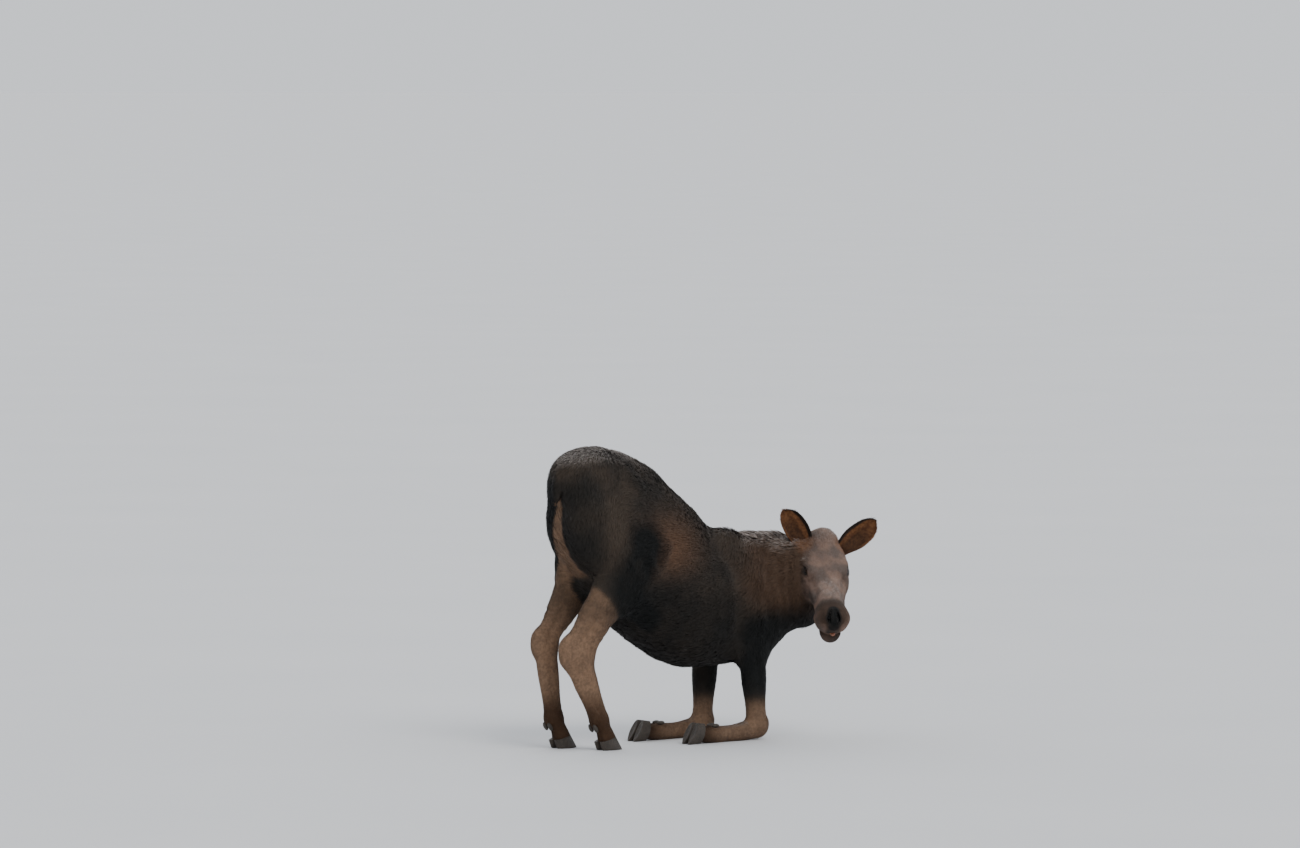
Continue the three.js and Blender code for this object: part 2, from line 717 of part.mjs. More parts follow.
// A foreleg is bent double at the knee: the forearm stands on it, and the cannon, pastern and hoof lie back
// along the floor with the sole turned up.
function buildForeLeg(name) {
  const side = sides[name];
  const leg = `fore_${name}`;
  const { elbow, knee, fetlock, toe } = foreJoints[name];
  const fields = foreFields[name];
  const kneeCut = cut([knee[0] - 36, 0, knee[2] + 32], [-0.62, 0, -0.78]);
  const fetlockCut = cut([fetlock[0] + 34, 0, 0], [-1, 0, 0.06]);
  const onFloor = (solid) => ahead(solid, cuts.floor);

  const forearmSpine = [[elbow[0], elbow[1], elbow[2] + 40], [knee[0], knee[1], 34]];
  const forearmOptions = { rings: [8], around: 14, up: at(1, 0, 0), round: [0, 2] };
  const forearm = carve(melt(30, arms, fields.forearm), forearmSpine, forearmOptions);
  const inRoom = forearm.intersect(roomFor("arm", name, gap / 2));
  add(`${leg}_forearm`, onFloor(behind(inRoom, kneeCut)), coat.dark);

  const cannonSpine = [[knee[0] - 6, knee[1], 44], [fetlock[0] - 4, fetlock[1], 38]];
  const cannon = carve(fields.cannon, cannonSpine, { rings: [5], around: 12, round: [3, 0] });
  add(`${leg}_cannon`, onFloor(behind(ahead(cannon, kneeCut), fetlockCut)), coat.dark);

  const pasternSpine = [[fetlock[0] + 60, fetlock[1], 38], [toe[0] - 20, toe[1], 42]];
  const pastern = (level) => {
    const solid = carve(fields.cannon, pasternSpine, { rings: [5], around: 12, level });
    return onFloor(ahead(solid, fetlockCut));
  };
  const sole = new THREE.Matrix4().makeRotationY(radians(120)).setPosition(toe[0] - 45, toe[1], 48);
  addFoot(leg, side, sole, pastern(0), pastern(gap));
}

buildTrunk();
buildHead();
for (const name of Object.keys(sides)) {
  buildHindLeg(name);
  buildForeLeg(name);
}

const group = new THREE.Group();
group.rotation.z = radians(-90);
group.add(model);
const bounds = new THREE.Box3().setFromObject(group);
const middle = bounds.getCenter(at(0, 0, 0));
group.position.set(-middle.x, -middle.y, -bounds.min.z);

export default group;
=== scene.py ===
import math
import bpy
import numpy as np
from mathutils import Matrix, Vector


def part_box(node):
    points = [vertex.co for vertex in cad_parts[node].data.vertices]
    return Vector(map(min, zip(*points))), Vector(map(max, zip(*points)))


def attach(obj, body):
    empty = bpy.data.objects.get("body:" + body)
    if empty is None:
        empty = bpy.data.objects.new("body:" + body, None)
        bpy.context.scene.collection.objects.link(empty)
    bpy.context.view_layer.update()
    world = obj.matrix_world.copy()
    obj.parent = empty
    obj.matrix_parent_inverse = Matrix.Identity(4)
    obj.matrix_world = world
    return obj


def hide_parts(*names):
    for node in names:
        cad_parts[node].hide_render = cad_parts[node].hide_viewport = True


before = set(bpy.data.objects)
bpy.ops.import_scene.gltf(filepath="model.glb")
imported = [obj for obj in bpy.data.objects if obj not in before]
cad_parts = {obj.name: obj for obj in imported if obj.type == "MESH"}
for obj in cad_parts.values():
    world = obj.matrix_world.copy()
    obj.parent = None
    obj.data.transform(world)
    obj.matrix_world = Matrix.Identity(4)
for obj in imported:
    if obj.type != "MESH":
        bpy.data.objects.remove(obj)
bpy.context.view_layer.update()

# The animal is laid out in millimetres with X forward, Y to its left and Z up.
# place() turns that into the frame's metres, where it faces -Y.
hindStance = {"left": (55, 8, -36), "right": (160, 26, -38)}  # fetlock, lean of cannon, lean of shank
# How much further each hind leg reaches ahead and behind: at the stifle, at two places on the shank,
# at the hock and at two places on the cannon.
hindBulk = {
    "left": ((0, 0, 0, 6, 12, 4), (54, 12, 6, 8, 14, 4)),
    "right": ((0, 0, 42, 52, 36, 13), (0, 32, 20, 4, 12, 4)),
}
hoofSole = {"ahead": 60, "length": 112}
outerHooves = [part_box("hind_left_hoof_outer"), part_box("hind_right_hoof_outer")]
shiftX = (outerHooves[0][0][0] + outerHooves[1][1][0]) / 2
frontOfHoof = (hindStance["left"][0] + hoofSole["ahead"] + hoofSole["length"] / 2) / 1000
shiftY = outerHooves[0][0][1] + frontOfHoof


def place(points):
    p = np.asarray(points, float) / 1000
    return np.stack([p[..., 1] + shiftX, shiftY - p[..., 0], p[..., 2]], -1)


def placeWay(ways):
    return np.stack([ways[..., 1], -ways[..., 0], ways[..., 2]], -1)


def unit(v):
    v = np.asarray(v, float)
    return v / np.maximum(np.linalg.norm(v, axis=-1, keepdims=True), 1e-9)


def ease(low, high, x):
    t = np.clip((x - low) / (high - low), 0, 1)
    return t * t * (3 - 2 * t)


def mix(a, b, share):
    return a + (b - a) * share


def ringOf(count):
    # angles evenly round a circle
    return np.arange(count) / count * 2 * np.pi


def ballGrid(rows, count, gap=0.02):
    # angles down from one pole to near the other, and round
    return np.linspace(gap, np.pi - gap, rows)[:, None], ringOf(count)[None, :]


def alongLimb(values, share):
    return np.interp(share, np.linspace(0, 1, len(values)), values)


# Fields are negative inside the animal, and in millimetres.


def curveThrough(points, shares):
    pts = np.asarray(points, float)
    last = len(pts) - 1
    made = []
    for share in shares:
        i = min(int(share * last), last - 1)
        w = share * last - i
        b, c = pts[i], pts[i + 1]
        a = pts[i - 1] if i > 0 else 2 * b - c
        d = pts[i + 2] if i + 2 <= last else 2 * c - b
        ab, bc, cd = (max(np.linalg.norm(q - p), 1e-3) ** 0.5 for p, q in ((a, b), (b, c), (c, d)))
        leave = ((b - a) / ab - (c - a) / (ab + bc) + (c - b) / bc) * bc
        arrive = ((c - b) / bc - (d - b) / (bc + cd) + (d - c) / cd) * bc
        bend = -3 * b + 3 * c - 2 * leave - arrive
        made.append(b + leave * w + bend * w * w + (2 * b - 2 * c + leave + arrive) * w**3)
    return np.array(made)


class Limb:
    # stations are [forward, left, up, half-depth, half-width]; coat depth and hair length run along them

    def __init__(self, stations, depth, hair, lie=1, sideways=(0, 1, 0), pieces=4):
        rows = np.array(stations, float)
        spans = len(rows) - 1
        count = spans * pieces if spans > 1 else 1
        shares = np.arange(count + 1) / count
        span = np.minimum(spans - 1, (shares * spans).astype(int))
        within = ease(0, 1, shares * spans - span)
        self.middle = curveThrough(rows[:, :3], shares)
        self.deep = mix(rows[span, 3], rows[span + 1, 3], within)
        self.side = mix(rows[span, 4], rows[span + 1, 4], within)
        self.wide = unit(sideways)
        self.depth, self.hair, self.lie = depth, hair, lie
        room = max(self.deep.max(), self.side.max()) + 95
        self.low, self.high = self.middle.min(0) - room, self.middle.max(0) + room

    def survey(self, p):
        # how far outside, the share of the way along, the way along, and the offset from the middle
        value = np.full(len(p), 1e3)
        share = np.zeros(len(p))
        way = np.zeros((len(p), 3))
        off = np.zeros((len(p), 3))
        near = np.flatnonzero(((p > self.low) & (p < self.high)).all(1))
        if not len(near):
            return value, share, way, off
        q = p[near]
        best = np.full(len(q), 1e3)
        bestShare, bestWay, bestOff = share[near], way[near], off[near]
        pieces = len(self.middle) - 1
        for i in range(pieces):
            a, step = self.middle[i], self.middle[i + 1] - self.middle[i]
            t = np.clip((q - a) @ step / (step @ step), 0, 1)
            d = q - a - t[:, None] * step
            out = d @ self.wide
            rest = np.sqrt(np.maximum(0, (d * d).sum(1) - out * out))
            deep = mix(self.deep[i], self.deep[i + 1], t)
            side = mix(self.side[i], self.side[i + 1], t)
            here = (np.hypot(out / side, rest / deep) - 1) * np.minimum(deep, side)
            less = here < best
            best[less] = here[less]
            bestShare[less] = (i + t[less]) / pieces
            bestWay[less] = unit(step)
            bestOff[less] = d[less]
        value[near], share[near], way[near], off[near] = best, bestShare, bestWay, bestOff
        return value, share, way, off


def mass(p, centre, radii, pitch=0):
    c, s = math.cos(math.radians(pitch)), math.sin(math.radians(pitch))
    rx, ry, rz = radii
    d = p - np.array(centre, float)
    u, v, w = (d[:, 0] * c - d[:, 2] * s) / rx, d[:, 1] / ry, (d[:, 0] * s + d[:, 2] * c) / rz
    near = np.sqrt(u * u + v * v + w * w)
    slope = np.sqrt((u / rx) ** 2 + (v / ry) ** 2 + (w / rz) ** 2)
    return near * (near - 1) / np.maximum(slope, 1e-6)


def melt(soft, *values):
    total = values[0]
    for value in values[1:]:
        overlap = np.maximum(0, soft - np.abs(total - value)) / soft
        total = np.minimum(total, value) - overlap * overlap * soft / 4
    return total


# The animal's measures: lengths in millimetres and leans in degrees.
headPose = {"place": (1330, -240, 890), "turn": -122, "droop": 33}
hindLeg = {"spread": 98, "stifleSpread": 140, "fetlockUp": 138, "cannon": 330, "shank": 450}
foreLeg = {"kneeUp": 62, "cannonUp": 36, "cannon": 262, "pastern": 78}
foreStance = {"left": ((948, 128, 440), 925), "right": ((1005, -130, 440), 1035)}
sides = {"left": 1, "right": -1}

turn, droop = math.radians(headPose["turn"]), math.radians(headPose["droop"])
turned = np.array([[math.cos(turn), -math.sin(turn), 0], [math.sin(turn), math.cos(turn), 0], [0, 0, 1]])
drooped = np.array(
    [[math.cos(droop), 0, math.sin(droop)], [0, 1, 0], [-math.sin(droop), 0, math.cos(droop)]]
)
headTurn = turned @ drooped


def toHead(p):
    return (p - np.array(headPose["place"])) @ headTurn


def fromHead(q):
    return np.asarray(q, float) @ headTurn.T + np.array(headPose["place"])


def lean(start, length, degrees):
    a = math.radians(degrees)
    return np.array([start[0] - length * math.sin(a), start[1], start[2] + length * math.cos(a)])


joints = {}
for name, side in sides.items():
    fetlock, cannonLean, shankLean = hindStance[name]
    foot = np.array([fetlock, side * hindLeg["spread"], hindLeg["fetlockUp"]], float)
    hock = lean(foot, hindLeg["cannon"], cannonLean)
    stifle = lean(hock, hindLeg["shank"], shankLean)
    stifle[1] = side * hindLeg["stifleSpread"]
    elbow, knee = foreStance[name]
    fetlockAt = knee - foreLeg["cannon"]
    joints[name] = {
        "foot": foot,
        "hock": hock,
        "stifle": stifle,
        "elbow": np.array(elbow, float),
        "knee": np.array([knee, elbow[1], foreLeg["kneeUp"]], float),
        "fetlock": np.array([fetlockAt, elbow[1], foreLeg["cannonUp"]], float),
        "toe": np.array([fetlockAt - foreLeg["pastern"], elbow[1], foreLeg["cannonUp"] + 8], float),
    }


def grownAt(point, name, place, deep, wide):
    ahead, behind = (row[place] for row in hindBulk[name])
    return [point[0] + (ahead - behind) / 2, point[1], point[2], deep + (ahead + behind) / 2, wide]


limbs = {
    "trunk": Limb(
        [
            [222, 0, 1114, 210, 165],
            [345, 0, 978, 322, 205],
            [515, 0, 807, 339, 246],
            [700, 0, 653, 313, 240],
            [880, -4, 588, 260, 205],
            [1010, -14, 590, 215, 165],
        ],
        (15, 16, 16, 16),
        (32, 34, 36, 36),
        lie=-1,
    ),
    "neck": Limb(
        [
            [985, -8, 708, 238, 142],
            [1100, -34, 706, 248, 124],
            [1165, -74, 694, 262, 114],
            [1222, -128, 702, 232, 104],
            [1262, -182, 704, 222, 96],
        ],
        (16, 16, 12),
        (38, 38, 30),
        lie=-1,
        sideways=(-0.35, 1, 0),
    ),
}
for name, side in sides.items():
    j = joints[name]
    foot, hock, stifle = j["foot"], j["hock"], j["stifle"]
    elbow, knee, fetlock, toe = j["elbow"], j["knee"], j["fetlock"], j["toe"]
    point = (1075, side * 140, 650)
    limbs[f"thigh_{name}"] = Limb(
        [
            [178, side * 88, 1150, 140, 66],
            [204, side * 106, 1010, 158, 76],
            [mix(214, stifle[0], 0.5), side * 122, 900, 126, 78],
            grownAt(stifle, name, 0, 106, 68),
            grownAt(mix(stifle, hock, 0.5), name, 1, 80, 50),
            grownAt(mix(stifle, hock, 0.84), name, 2, 52, 36),
            grownAt(hock, name, 3, 54, 38),
        ],
        (15, 14, 13, 10, 6, 4, 3.5),
        (32, 30, 28, 22, 16, 12, 10),
    )
    limbs[f"shin_{name}"] = Limb(
        [
            grownAt(hock, name, 3, 52, 38),
            grownAt(mix(hock, foot, 0.3), name, 4, 44, 35),
            grownAt(mix(hock, foot, 0.8), name, 5, 41, 33),
            [*foot, 46, 39],
        ],
        (3.5, 3, 3),
        (10, 9, 10),
    )
    limbs[f"pastern_{name}"] = Limb(
        [
            [*foot, 45, 39],
            [foot[0] + 24, foot[1], foot[2] - 42, 36, 36],
            [foot[0] + 46, foot[1], 44, 42, 40],
        ],
        (3, 3),
        (10, 13),
    )
    limbs[f"shoulder_{name}"] = Limb(
        [[880, side * 108, 880, 80, 40], [985, side * 138, 760, 118, 56], [*point, 112, 60]],
        (15, 15),
        (34, 34),
        lie=0,
    )
    limbs[f"arm_{name}"] = Limb(
        [[*point, 108, 60], [mix(point[0], elbow[0], 0.6), side * 136, 540, 110, 62], [*elbow, 88, 55]],
        (15, 12),
        (34, 26),
        lie=0,
    )
    limbs[f"forearm_{name}"] = Limb(
        [
            [*elbow, 90, 55],
            [*mix(elbow, knee, 0.35), 68, 50],
            [*mix(elbow, knee, 0.8), 49, 43],
            [*knee, 54, 46],
        ],
        (10, 5, 3.5),
        (24, 14, 11),
    )
    limbs[f"forecannon_{name}"] = Limb(
        [
            [*knee, 54, 46],
            [knee[0] - 70, knee[1], foreLeg["cannonUp"] + 6, 45, 41],
            [mix(knee[0], fetlock[0], 0.6), knee[1], foreLeg["cannonUp"], 38, 35],
            [*fetlock, 41, 39],
            [*toe, 36, 38],
        ],
        (3.5, 3, 3),
        (11, 10, 12),
    )
limbs["tail"] = Limb(
    [[44, 0, 1240, 46, 34], [10, 3, 1180, 36, 30], [0, 4, 1122, 25, 23]],
    (12, 9),
    (26, 22),
)
headLimbs = {  # in the head's own frame: X along the bridge of the nose, Z out of the brow
    "skull": Limb(
        [
            [10, 0, -44, 104, 84],
            [90, 0, -66, 106, 97],
            [175, 0, -86, 96, 101],
            [250, 0, -97, 84, 83],
            [320, 0, -102, 75, 70],
            [385, 0, -104, 70, 71],
            [436, 0, -100, 58, 72],
        ],
        (10, 6, 4, 3.2, 2.6, 2, 1.6),
        (18, 13, 11, 9, 7, 6, 4.5),
        lie=-1,
    ),
    "jaw": Limb(
        [[60, 0, -132, 66, 66], [190, 0, -152, 56, 56], [320, 0, -170, 47, 46], [430, 0, -190, 46, 46]],
        (8, 4, 3, 2),
        (18, 13, 9, 6),
        lie=-1,
    ),
}

eye = {
    "place": (188, 78, -28),
    "radius": 19.2,
    "lid": 4.4,
    "out": (0.30, 0.93, 0.20),
    "fore": (0.93, -0.30, -0.30),
    "halfLength": 17.0,
    "upper": 9.6,
    "lower": 7.4,
}
ear = {"length": 205, "width": 122, "cup": 62, "sunk": 30}
earStance = {"left": ((42, 82, -12), 52), "right": ((44, -72, 4), 33)}  # its root, and how far it leans out


def earAxis(name):
    spread = math.radians(earStance[name][1])
    outward = np.array([0, sides[name] * math.sin(spread), 0])
    return np.array([-math.sin(droop), 0, math.cos(droop)]) * math.cos(spread) + outward


hoof = {
    "length": hoofSole["length"],
    "width": 41,
    "front": 62,
    "heel": 36,
    "slant": 26,
    "cleft": 5,
    "dewclaw": (-92, 17, 100),
}
foldedBack = math.radians(120)  # how far a fore foot turns with its knee down
feet = {}  # each foot's turn and place, whose middle of the sole is the origin
for name in sides:
    j = joints[name]
    c, r = math.cos(foldedBack), math.sin(foldedBack)
    feet[f"hind_{name}"] = (np.eye(3), j["foot"] * (1, 1, 0) + (hoofSole["ahead"], 0, 0))
    folded = np.array([[c, 0, r], [0, 1, 0], [-r, 0, c]])
    feet[f"fore_{name}"] = (folded, j["toe"] * (1, 1, 0) + (-45, 0, 48))
hoofSlope = math.atan2(hoof["front"] - hoof["heel"], hoof["length"])
coronetMiddle = (-hoof["slant"], 0, (hoof["front"] + hoof["heel"]) / 2)
coronetWay = (-math.sin(hoofSlope), 0, math.cos(hoofSlope))
coronets = [(turnOf @ coronetMiddle + at, turnOf @ coronetWay) for turnOf, at in feet.values()]

tendons = {}
for name in sides:
    hock, stifle = joints[name]["hock"], joints[name]["stifle"]
    behind = hindBulk[name][1]
    tendons[name] = Limb(
        [
            [*mix(hock, stifle, 0.62) + (-30 - 0.6 * behind[1], 0, -20), 36, 24],
            [*mix(hock, stifle, 0.34) + (-44 - 0.8 * behind[2], 0, -18), 25, 17],
            [*hock + (-42, 0, 44), 20, 17],
        ],
        (6, 4),
        (14, 12),
    )


def flesh(p, detail=True):
    # the flesh's field with the coat's depth taken off
    found = {name: limb.survey(p) for name, limb in limbs.items()}
    v = {name: row[0] for name, row in found.items()}
    trunk = melt(110, v["trunk"], mass(p, (180, 0, 1234), (150, 102, 80), 6))
    arms = melt(30, *(melt(50, v[f"shoulder_{n}"], v[f"arm_{n}"]) for n in sides))
    thighs = melt(20, *(v[f"thigh_{n}"] for n in sides))
    whole = melt(84, melt(84, trunk, thighs), v["neck"], arms)
    for name in sides:
        hock = joints[name]["hock"]
        hockPoint = mass(p, hock + (-30, 0, 16), (34, 24, 58), 14)
        whole = melt(30, whole, tendons[name].survey(p)[0], hockPoint)
        whole = melt(24, whole, melt(12, v[f"shin_{name}"], v[f"pastern_{name}"]))
        whole = melt(16, melt(30, whole, v[f"forearm_{name}"]), v[f"forecannon_{name}"])
    whole = melt(14, whole, v["tail"])
    h = toHead(p)
    nearHead = np.flatnonzero((np.abs(h - (210, 0, -80)) < (420, 260, 300)).all(1))
    depths = [(v[name], alongLimb(limb.depth, found[name][1])) for name, limb in limbs.items()]
    if len(nearHead):
        q = h[nearHead]
        inHead = {name: limb.survey(q) for name, limb in headLimbs.items()}
        sidesOfHead = [
            melt(
                34,
                mass(q, (170, s * 71, -14), (54, 23, 17), 8),
                mass(q, (150, s * 66, -98), (92, 34, 62), 14),
            )
            for s in (1, -1)
        ]
        upper = melt(
            36,
            melt(30, inHead["skull"][0], mass(q, (118, 0, -34), (122, 99, 52), 6)),
            mass(q, (446, 0, -94), (66, 75, 57), 6),
            mass(q, (468, 0, -82), (44, 56, 36), 20),
            mass(q, (28, 0, 20), (58, 52, 52), 20),
            *sidesOfHead,
        )
        headValue = np.full(len(p), 1e3)
        headValue[nearHead] = melt(26, upper, inHead["jaw"][0])
        whole = melt(38, whole, headValue)
        for name, limb in headLimbs.items():
            value = np.full(len(p), 1e3)
            value[nearHead] = np.minimum(inHead[name][0], headValue[nearHead] + 6)
            depth = np.zeros(len(p))
            depth[nearHead] = alongLimb(limb.depth, inHead[name][1])
            depths.append((value, depth))
    weights = [np.exp(-np.clip(value, -40, 400) / 12) + 1e-12 for value, _ in depths]
    depth = sum(w * d for w, (_, d) in zip(weights, depths)) / sum(weights)
    whole = whole + depth
    for middle, way in coronets:
        d = p - middle
        inHoof = np.linalg.norm(d, axis=1) < 95
        whole = np.where(inHoof, np.maximum(whole, -(d @ way) - 4), whole)
    return sculpt(p, h, whole) if detail else whole


def strokeNear(p, line, sizes=None):
    # how far outside a line of points, whose thickness runs along it where sizes are given
    line = np.asarray(line, float)
    sizes = np.zeros(len(line)) if sizes is None else sizes
    best = np.full(len(p), 1e3)
    for a, b, first, last in zip(line[:-1], line[1:], sizes[:-1], sizes[1:]):
        step = b - a
        t = np.clip((p - a) @ step / (step @ step), 0, 1)
        best = np.minimum(best, np.linalg.norm(p - a - t[:, None] * step, axis=1) - mix(first, last, t))
    return best


def slopes(field, p, size=0.8):
    steps = np.array([[1, 1, 1], [1, -1, -1], [-1, 1, -1], [-1, -1, 1]]) * size
    values = field(np.concatenate([p + s for s in steps])).reshape(4, -1)
    return values.mean(0), (values.T @ steps) / (4 * size * size)


def settle(field, p, rounds=1, most=6.0):
    # moves points onto the field's zero
    for _ in range(rounds):
        value, slope = slopes(field, p)
        size = np.maximum((slope**2).sum(1), 0.15)
        move = -(value / size)[:, None] * slope
        length = np.linalg.norm(move, axis=1, keepdims=True)
        p = p + move * np.minimum(1, most / np.maximum(length, 1e-9))
    return p


def smoothFlesh(p):
    return flesh(p, False)


def laidOn(strokes, inHead=False, spacing=28):
    # the strokes' lines, with more points and laid on the skin
    lines = []
    for line, *_ in strokes:
        line = np.array([np.asarray(q, float) for q in line])
        count = max(2, int(np.linalg.norm(np.diff(line, axis=0), axis=1).sum() / spacing))
        lines.append(curveThrough(line, np.arange(count + 1) / count) if len(line) > 1 else line)
    every = np.concatenate(lines)
    every = settle(smoothFlesh, fromHead(every) if inHead else every, 8, most=30)
    every = toHead(every) if inHead else every
    ends = np.cumsum([0] + [len(line) for line in lines])
    return [(every[a:b], *stroke[1:]) for a, b, stroke in zip(ends[:-1], ends[1:], strokes)]


def bodyStrokes():
    # folds and muscles: line, width, and how far out (or in, if negative)
    made = []
    for name, side in sides.items():
        j = joints[name]
        stifle, hock, foot, knee, elbow = (j[k] for k in ("stifle", "hock", "foot", "knee", "elbow"))
        flank = np.array([stifle + (74, side * 40, 60), (402, side * 225, 800), (452, side * 236, 905)])
        made += [
            [flank, 26, 7],
            [flank + (42, 0, -8), 26, -6],
            [[(300, side * 128, 1205), (345, side * 160, 1165)], 36, 7],  # point of the hip
            [[(150, side * 160, 1050), (190, side * 190, 900), stifle + (-20, side * 60, 0)], 50, 6],
            # shoulder blade
            [[(905, side * 130, 830), (1000, side * 190, 700), (1068, side * 200, 640)], 44, 8],
            # behind it
            [[(850, side * 190, 800), (878, side * 205, 640), (900, side * 190, 480)], 38, -8],
            [[hock + (6, side * 38, -6), hock + (0, side * 38, -34)], 17, 3],
            [[hock + (6, -side * 38, -6), hock + (0, -side * 38, -34)], 17, 3],
            [
                [mix(elbow, knee, 0.2) + (-8, side * 50, 0), mix(elbow, knee, 0.7) + (-4, side * 44, 0)],
                16,
                -4,
            ],
            [[knee + (26, side * 30, 18), knee + (30, -side * 30, 18)], 22, 3],
        ]
        for face in (side, -side):
            made += [
                [[mix(stifle, hock, t) + (8 * t - 34, face * 34, 6) for t in (0.55, 0.75, 0.94)], 12, -4.5],
                [[mix(hock, foot, t) + (-10, face * 34, 0) for t in (0.14, 0.5, 0.84)], 8, -3.2],
            ]
    for step in range(5):  # small wrinkles on the back of the left shank
        up = mix(joints["left"]["hock"], joints["left"]["stifle"], 0.42 + 0.075 * step)
        made.append([[up + (-60, -34, -8), up + (-72, 6, 4), up + (-50, 42, 10)], 9, -2.6])
    made += [
        [[(120, 0, 1340), (330, 0, 1290), (560, 0, 1140), (760, 0, 1000)], 30, 5],  # the spine
        # creases of the bent neck
        [[(1036, -160, 810), (1020, -170, 700), (1040, -160, 570)], 30, -7],
        [[(1100, -200, 800), (1088, -210, 700), (1110, -190, 590)], 24, -4],
    ]
    return made


def headStrokes():
    made = []
    for s in (1, -1):
        made += [
            # ridge of the cheekbone
            [[(214, s * 92, -64), (268, s * 80, -80), (326, s * 70, -94)], 17, 2.6],
            # edge of the nose bone
            [[(222, s * 54, -16), (290, s * 42, -26), (372, s * 38, -34)], 15, 2.2],
            # hollow between them
            [[(250, s * 70, -50), (320, s * 62, -64), (376, s * 62, -80)], 16, -3.2],
            [[(108, s * 84, -18), (132, s * 92, -30)], 20, -4],  # hollow behind the brow
            # folds below the eye
            [[(166, s * 102, -62), (192, s * 103, -68), (222, s * 92, -66)], 6, -1.8],
            [[(158, s * 101, -78), (194, s * 100, -84), (228, s * 90, -80)], 7, -1.4],
            [[(156, s * 90, 0), (186, s * 92, 2), (212, s * 80, -4)], 11, 2.6],  # brow
            # wing of the nostril
            [[(464, s * 32, -40), (486, s * 37, -58), (496, s * 35, -80)], 9, 3.2],
            # upper lip
            [[(404, s * 62, -136), (450, s * 62, -136), (490, s * 40, -128)], 13, 3.4],
            # lower lip
            [[(400, s * 38, -192), (440, s * 34, -188), (466, s * 14, -180)], 12, 2.6],
            # between lip and nose
            [[(330, s * 60, -140), (392, s * 64, -116), (426, s * 68, -84)], 16, -2.4],
        ]
    return made


nostril = {
    "line": [(470, 10, -36), (486, 18, -48), (497, 20, -62), (503, 15, -76)],
    "sizes": (2.6, 5.6, 7.8, 4.6),
    "inward": (-4.5, -1.0, -3.0),
}
bodyFolds, headFolds = [], []  # filled from the smooth skin, which has none


def sculpt(p, h, value):
    out = value.copy()
    near = np.flatnonzero(np.abs(value) < 40)
    for frameOf, strokes in ((p, bodyFolds), (h, headFolds)):
        q = frameOf[near]
        for line, width, height in strokes:
            close = np.flatnonzero(((q > line.min(0) - 3 * width) & (q < line.max(0) + 3 * width)).all(1))
            if len(close):
                d = strokeNear(q[close], line) / width
                out[near[close]] -= height * np.exp(-d * d)
    face = near[(h[near, 0] > 60) & (h[near, 0] < 560) & (np.abs(h[near, 1]) < 160) & (h[near, 2] > -280)]
    if len(face):
        out[face] = carveFace(h[face], out[face])
    return out


def eyeFrame(side):
    # the eye's centre and its outward, forward and upward ways, in the head's frame
    flip = np.array([1, side, 1])
    out = unit(np.array(eye["out"]))
    fore = unit(np.array(eye["fore"]) - out * (np.array(eye["fore"]) @ out))
    return np.array(eye["place"]) * flip, out * flip, fore * flip, np.cross(fore, out) * flip


def almond(u, w):
    # how far outside the opening between the lids
    along = np.minimum(np.abs(u / eye["halfLength"]), 1.6)
    upper = eye["upper"] * (1 - along**2.2)
    lower = -eye["lower"] * (1 - along**1.9)
    return np.maximum(w - upper, lower - w)


def lipLine(x):
    return -161 + 13 * ease(420, 505, x) + 3 * np.sin((x - 330) / 60) * ease(300, 380, x)


def carveFace(q, value):
    m = q.copy()
    m[:, 1] = np.abs(q[:, 1])
    # a bulge for the lids, and a hole for the ball that the lids' own mesh covers
    centre, out, fore, over = eyeFrame(1)
    d = m - centre
    far = np.linalg.norm(d, axis=1)
    value = melt(12, value, far - (eye["radius"] + eye["lid"]))
    tilt = np.arccos(np.clip(d @ out / np.maximum(far, 1e-6), -1, 1)) * eye["radius"]
    flat = np.maximum(np.hypot(d @ fore, d @ over), 1e-6)
    shut = almond(d @ fore / flat * tilt, d @ over / flat * tilt)
    near = far < eye["radius"] + 22
    value = value + 3.0 * np.exp(-(((shut - 5) / 3.2) ** 2)) * near * (d @ out > 0)
    hole = np.maximum(shut - 5, eye["radius"] - 3 - far)
    value = np.where(near, np.maximum(value, -hole), value)
    # nostril: a comma that opens forward and outward, with a raised rim
    for line, sizes, rim in nostrils:
        hole = strokeNear(m, line, sizes)
        value = value - rim * np.exp(-(((hole - 4.5) / 3.8) ** 2))
        value = -melt(5, -value, hole)
    # mouth: a fine crease from the front of the lips to the corner
    across = q[:, 2] - lipLine(q[:, 0])
    reach = ease(300, 350, q[:, 0])
    crease = 7 * np.exp(-((across / 2.8) ** 2))
    lips = 1.8 * np.exp(-(((np.abs(across) - 9) / 5) ** 2))
    value = value + reach * (crease - lips)
    # groove down the middle of the upper lip
    middle = np.exp(-((q[:, 1] / 3.2) ** 2)) * ease(470, 492, q[:, 0])
    middle = middle * ease(-146, -136, q[:, 2]) * ease(-74, -90, q[:, 2])
    # the mouth stands a little open at the front, where the tongue comes out
    gap = mass(m, (492, 0, -149), (42, 26, 8), -4)
    return -melt(5, -(value + 2.4 * middle), gap)


nostrils = []
outer = laidOn([[nostril["line"]]], inHead=True, spacing=3)[0][0]
for _ in range(8):
    outer[1:-1] = (outer[:-2] + 2 * outer[1:-1] + outer[2:]) / 4
along = np.linspace(0, 1, len(outer))
outerSizes = np.interp(along, np.linspace(0, 1, len(nostril["sizes"])), nostril["sizes"])
deepest = np.array(nostril["inward"])
nostrils.append((outer, outerSizes, 2.6))
for further, share in ((0.9, 0.84), (1.6, 0.7), (2.3, 0.58)):
    nostrils.append((outer + further * deepest * np.sin(along * np.pi)[:, None], outerSizes * share, 0))
bodyFolds += laidOn(bodyStrokes())
headFolds += laidOn(headStrokes(), inHead=True, spacing=14)
print("folds:", len(bodyFolds) + len(headFolds))


# The skin: a net of the field, refined and laid on its zero.


cubeCorners = [(i, j, k) for i in (0, 1) for j in (0, 1) for k in (0, 1)]


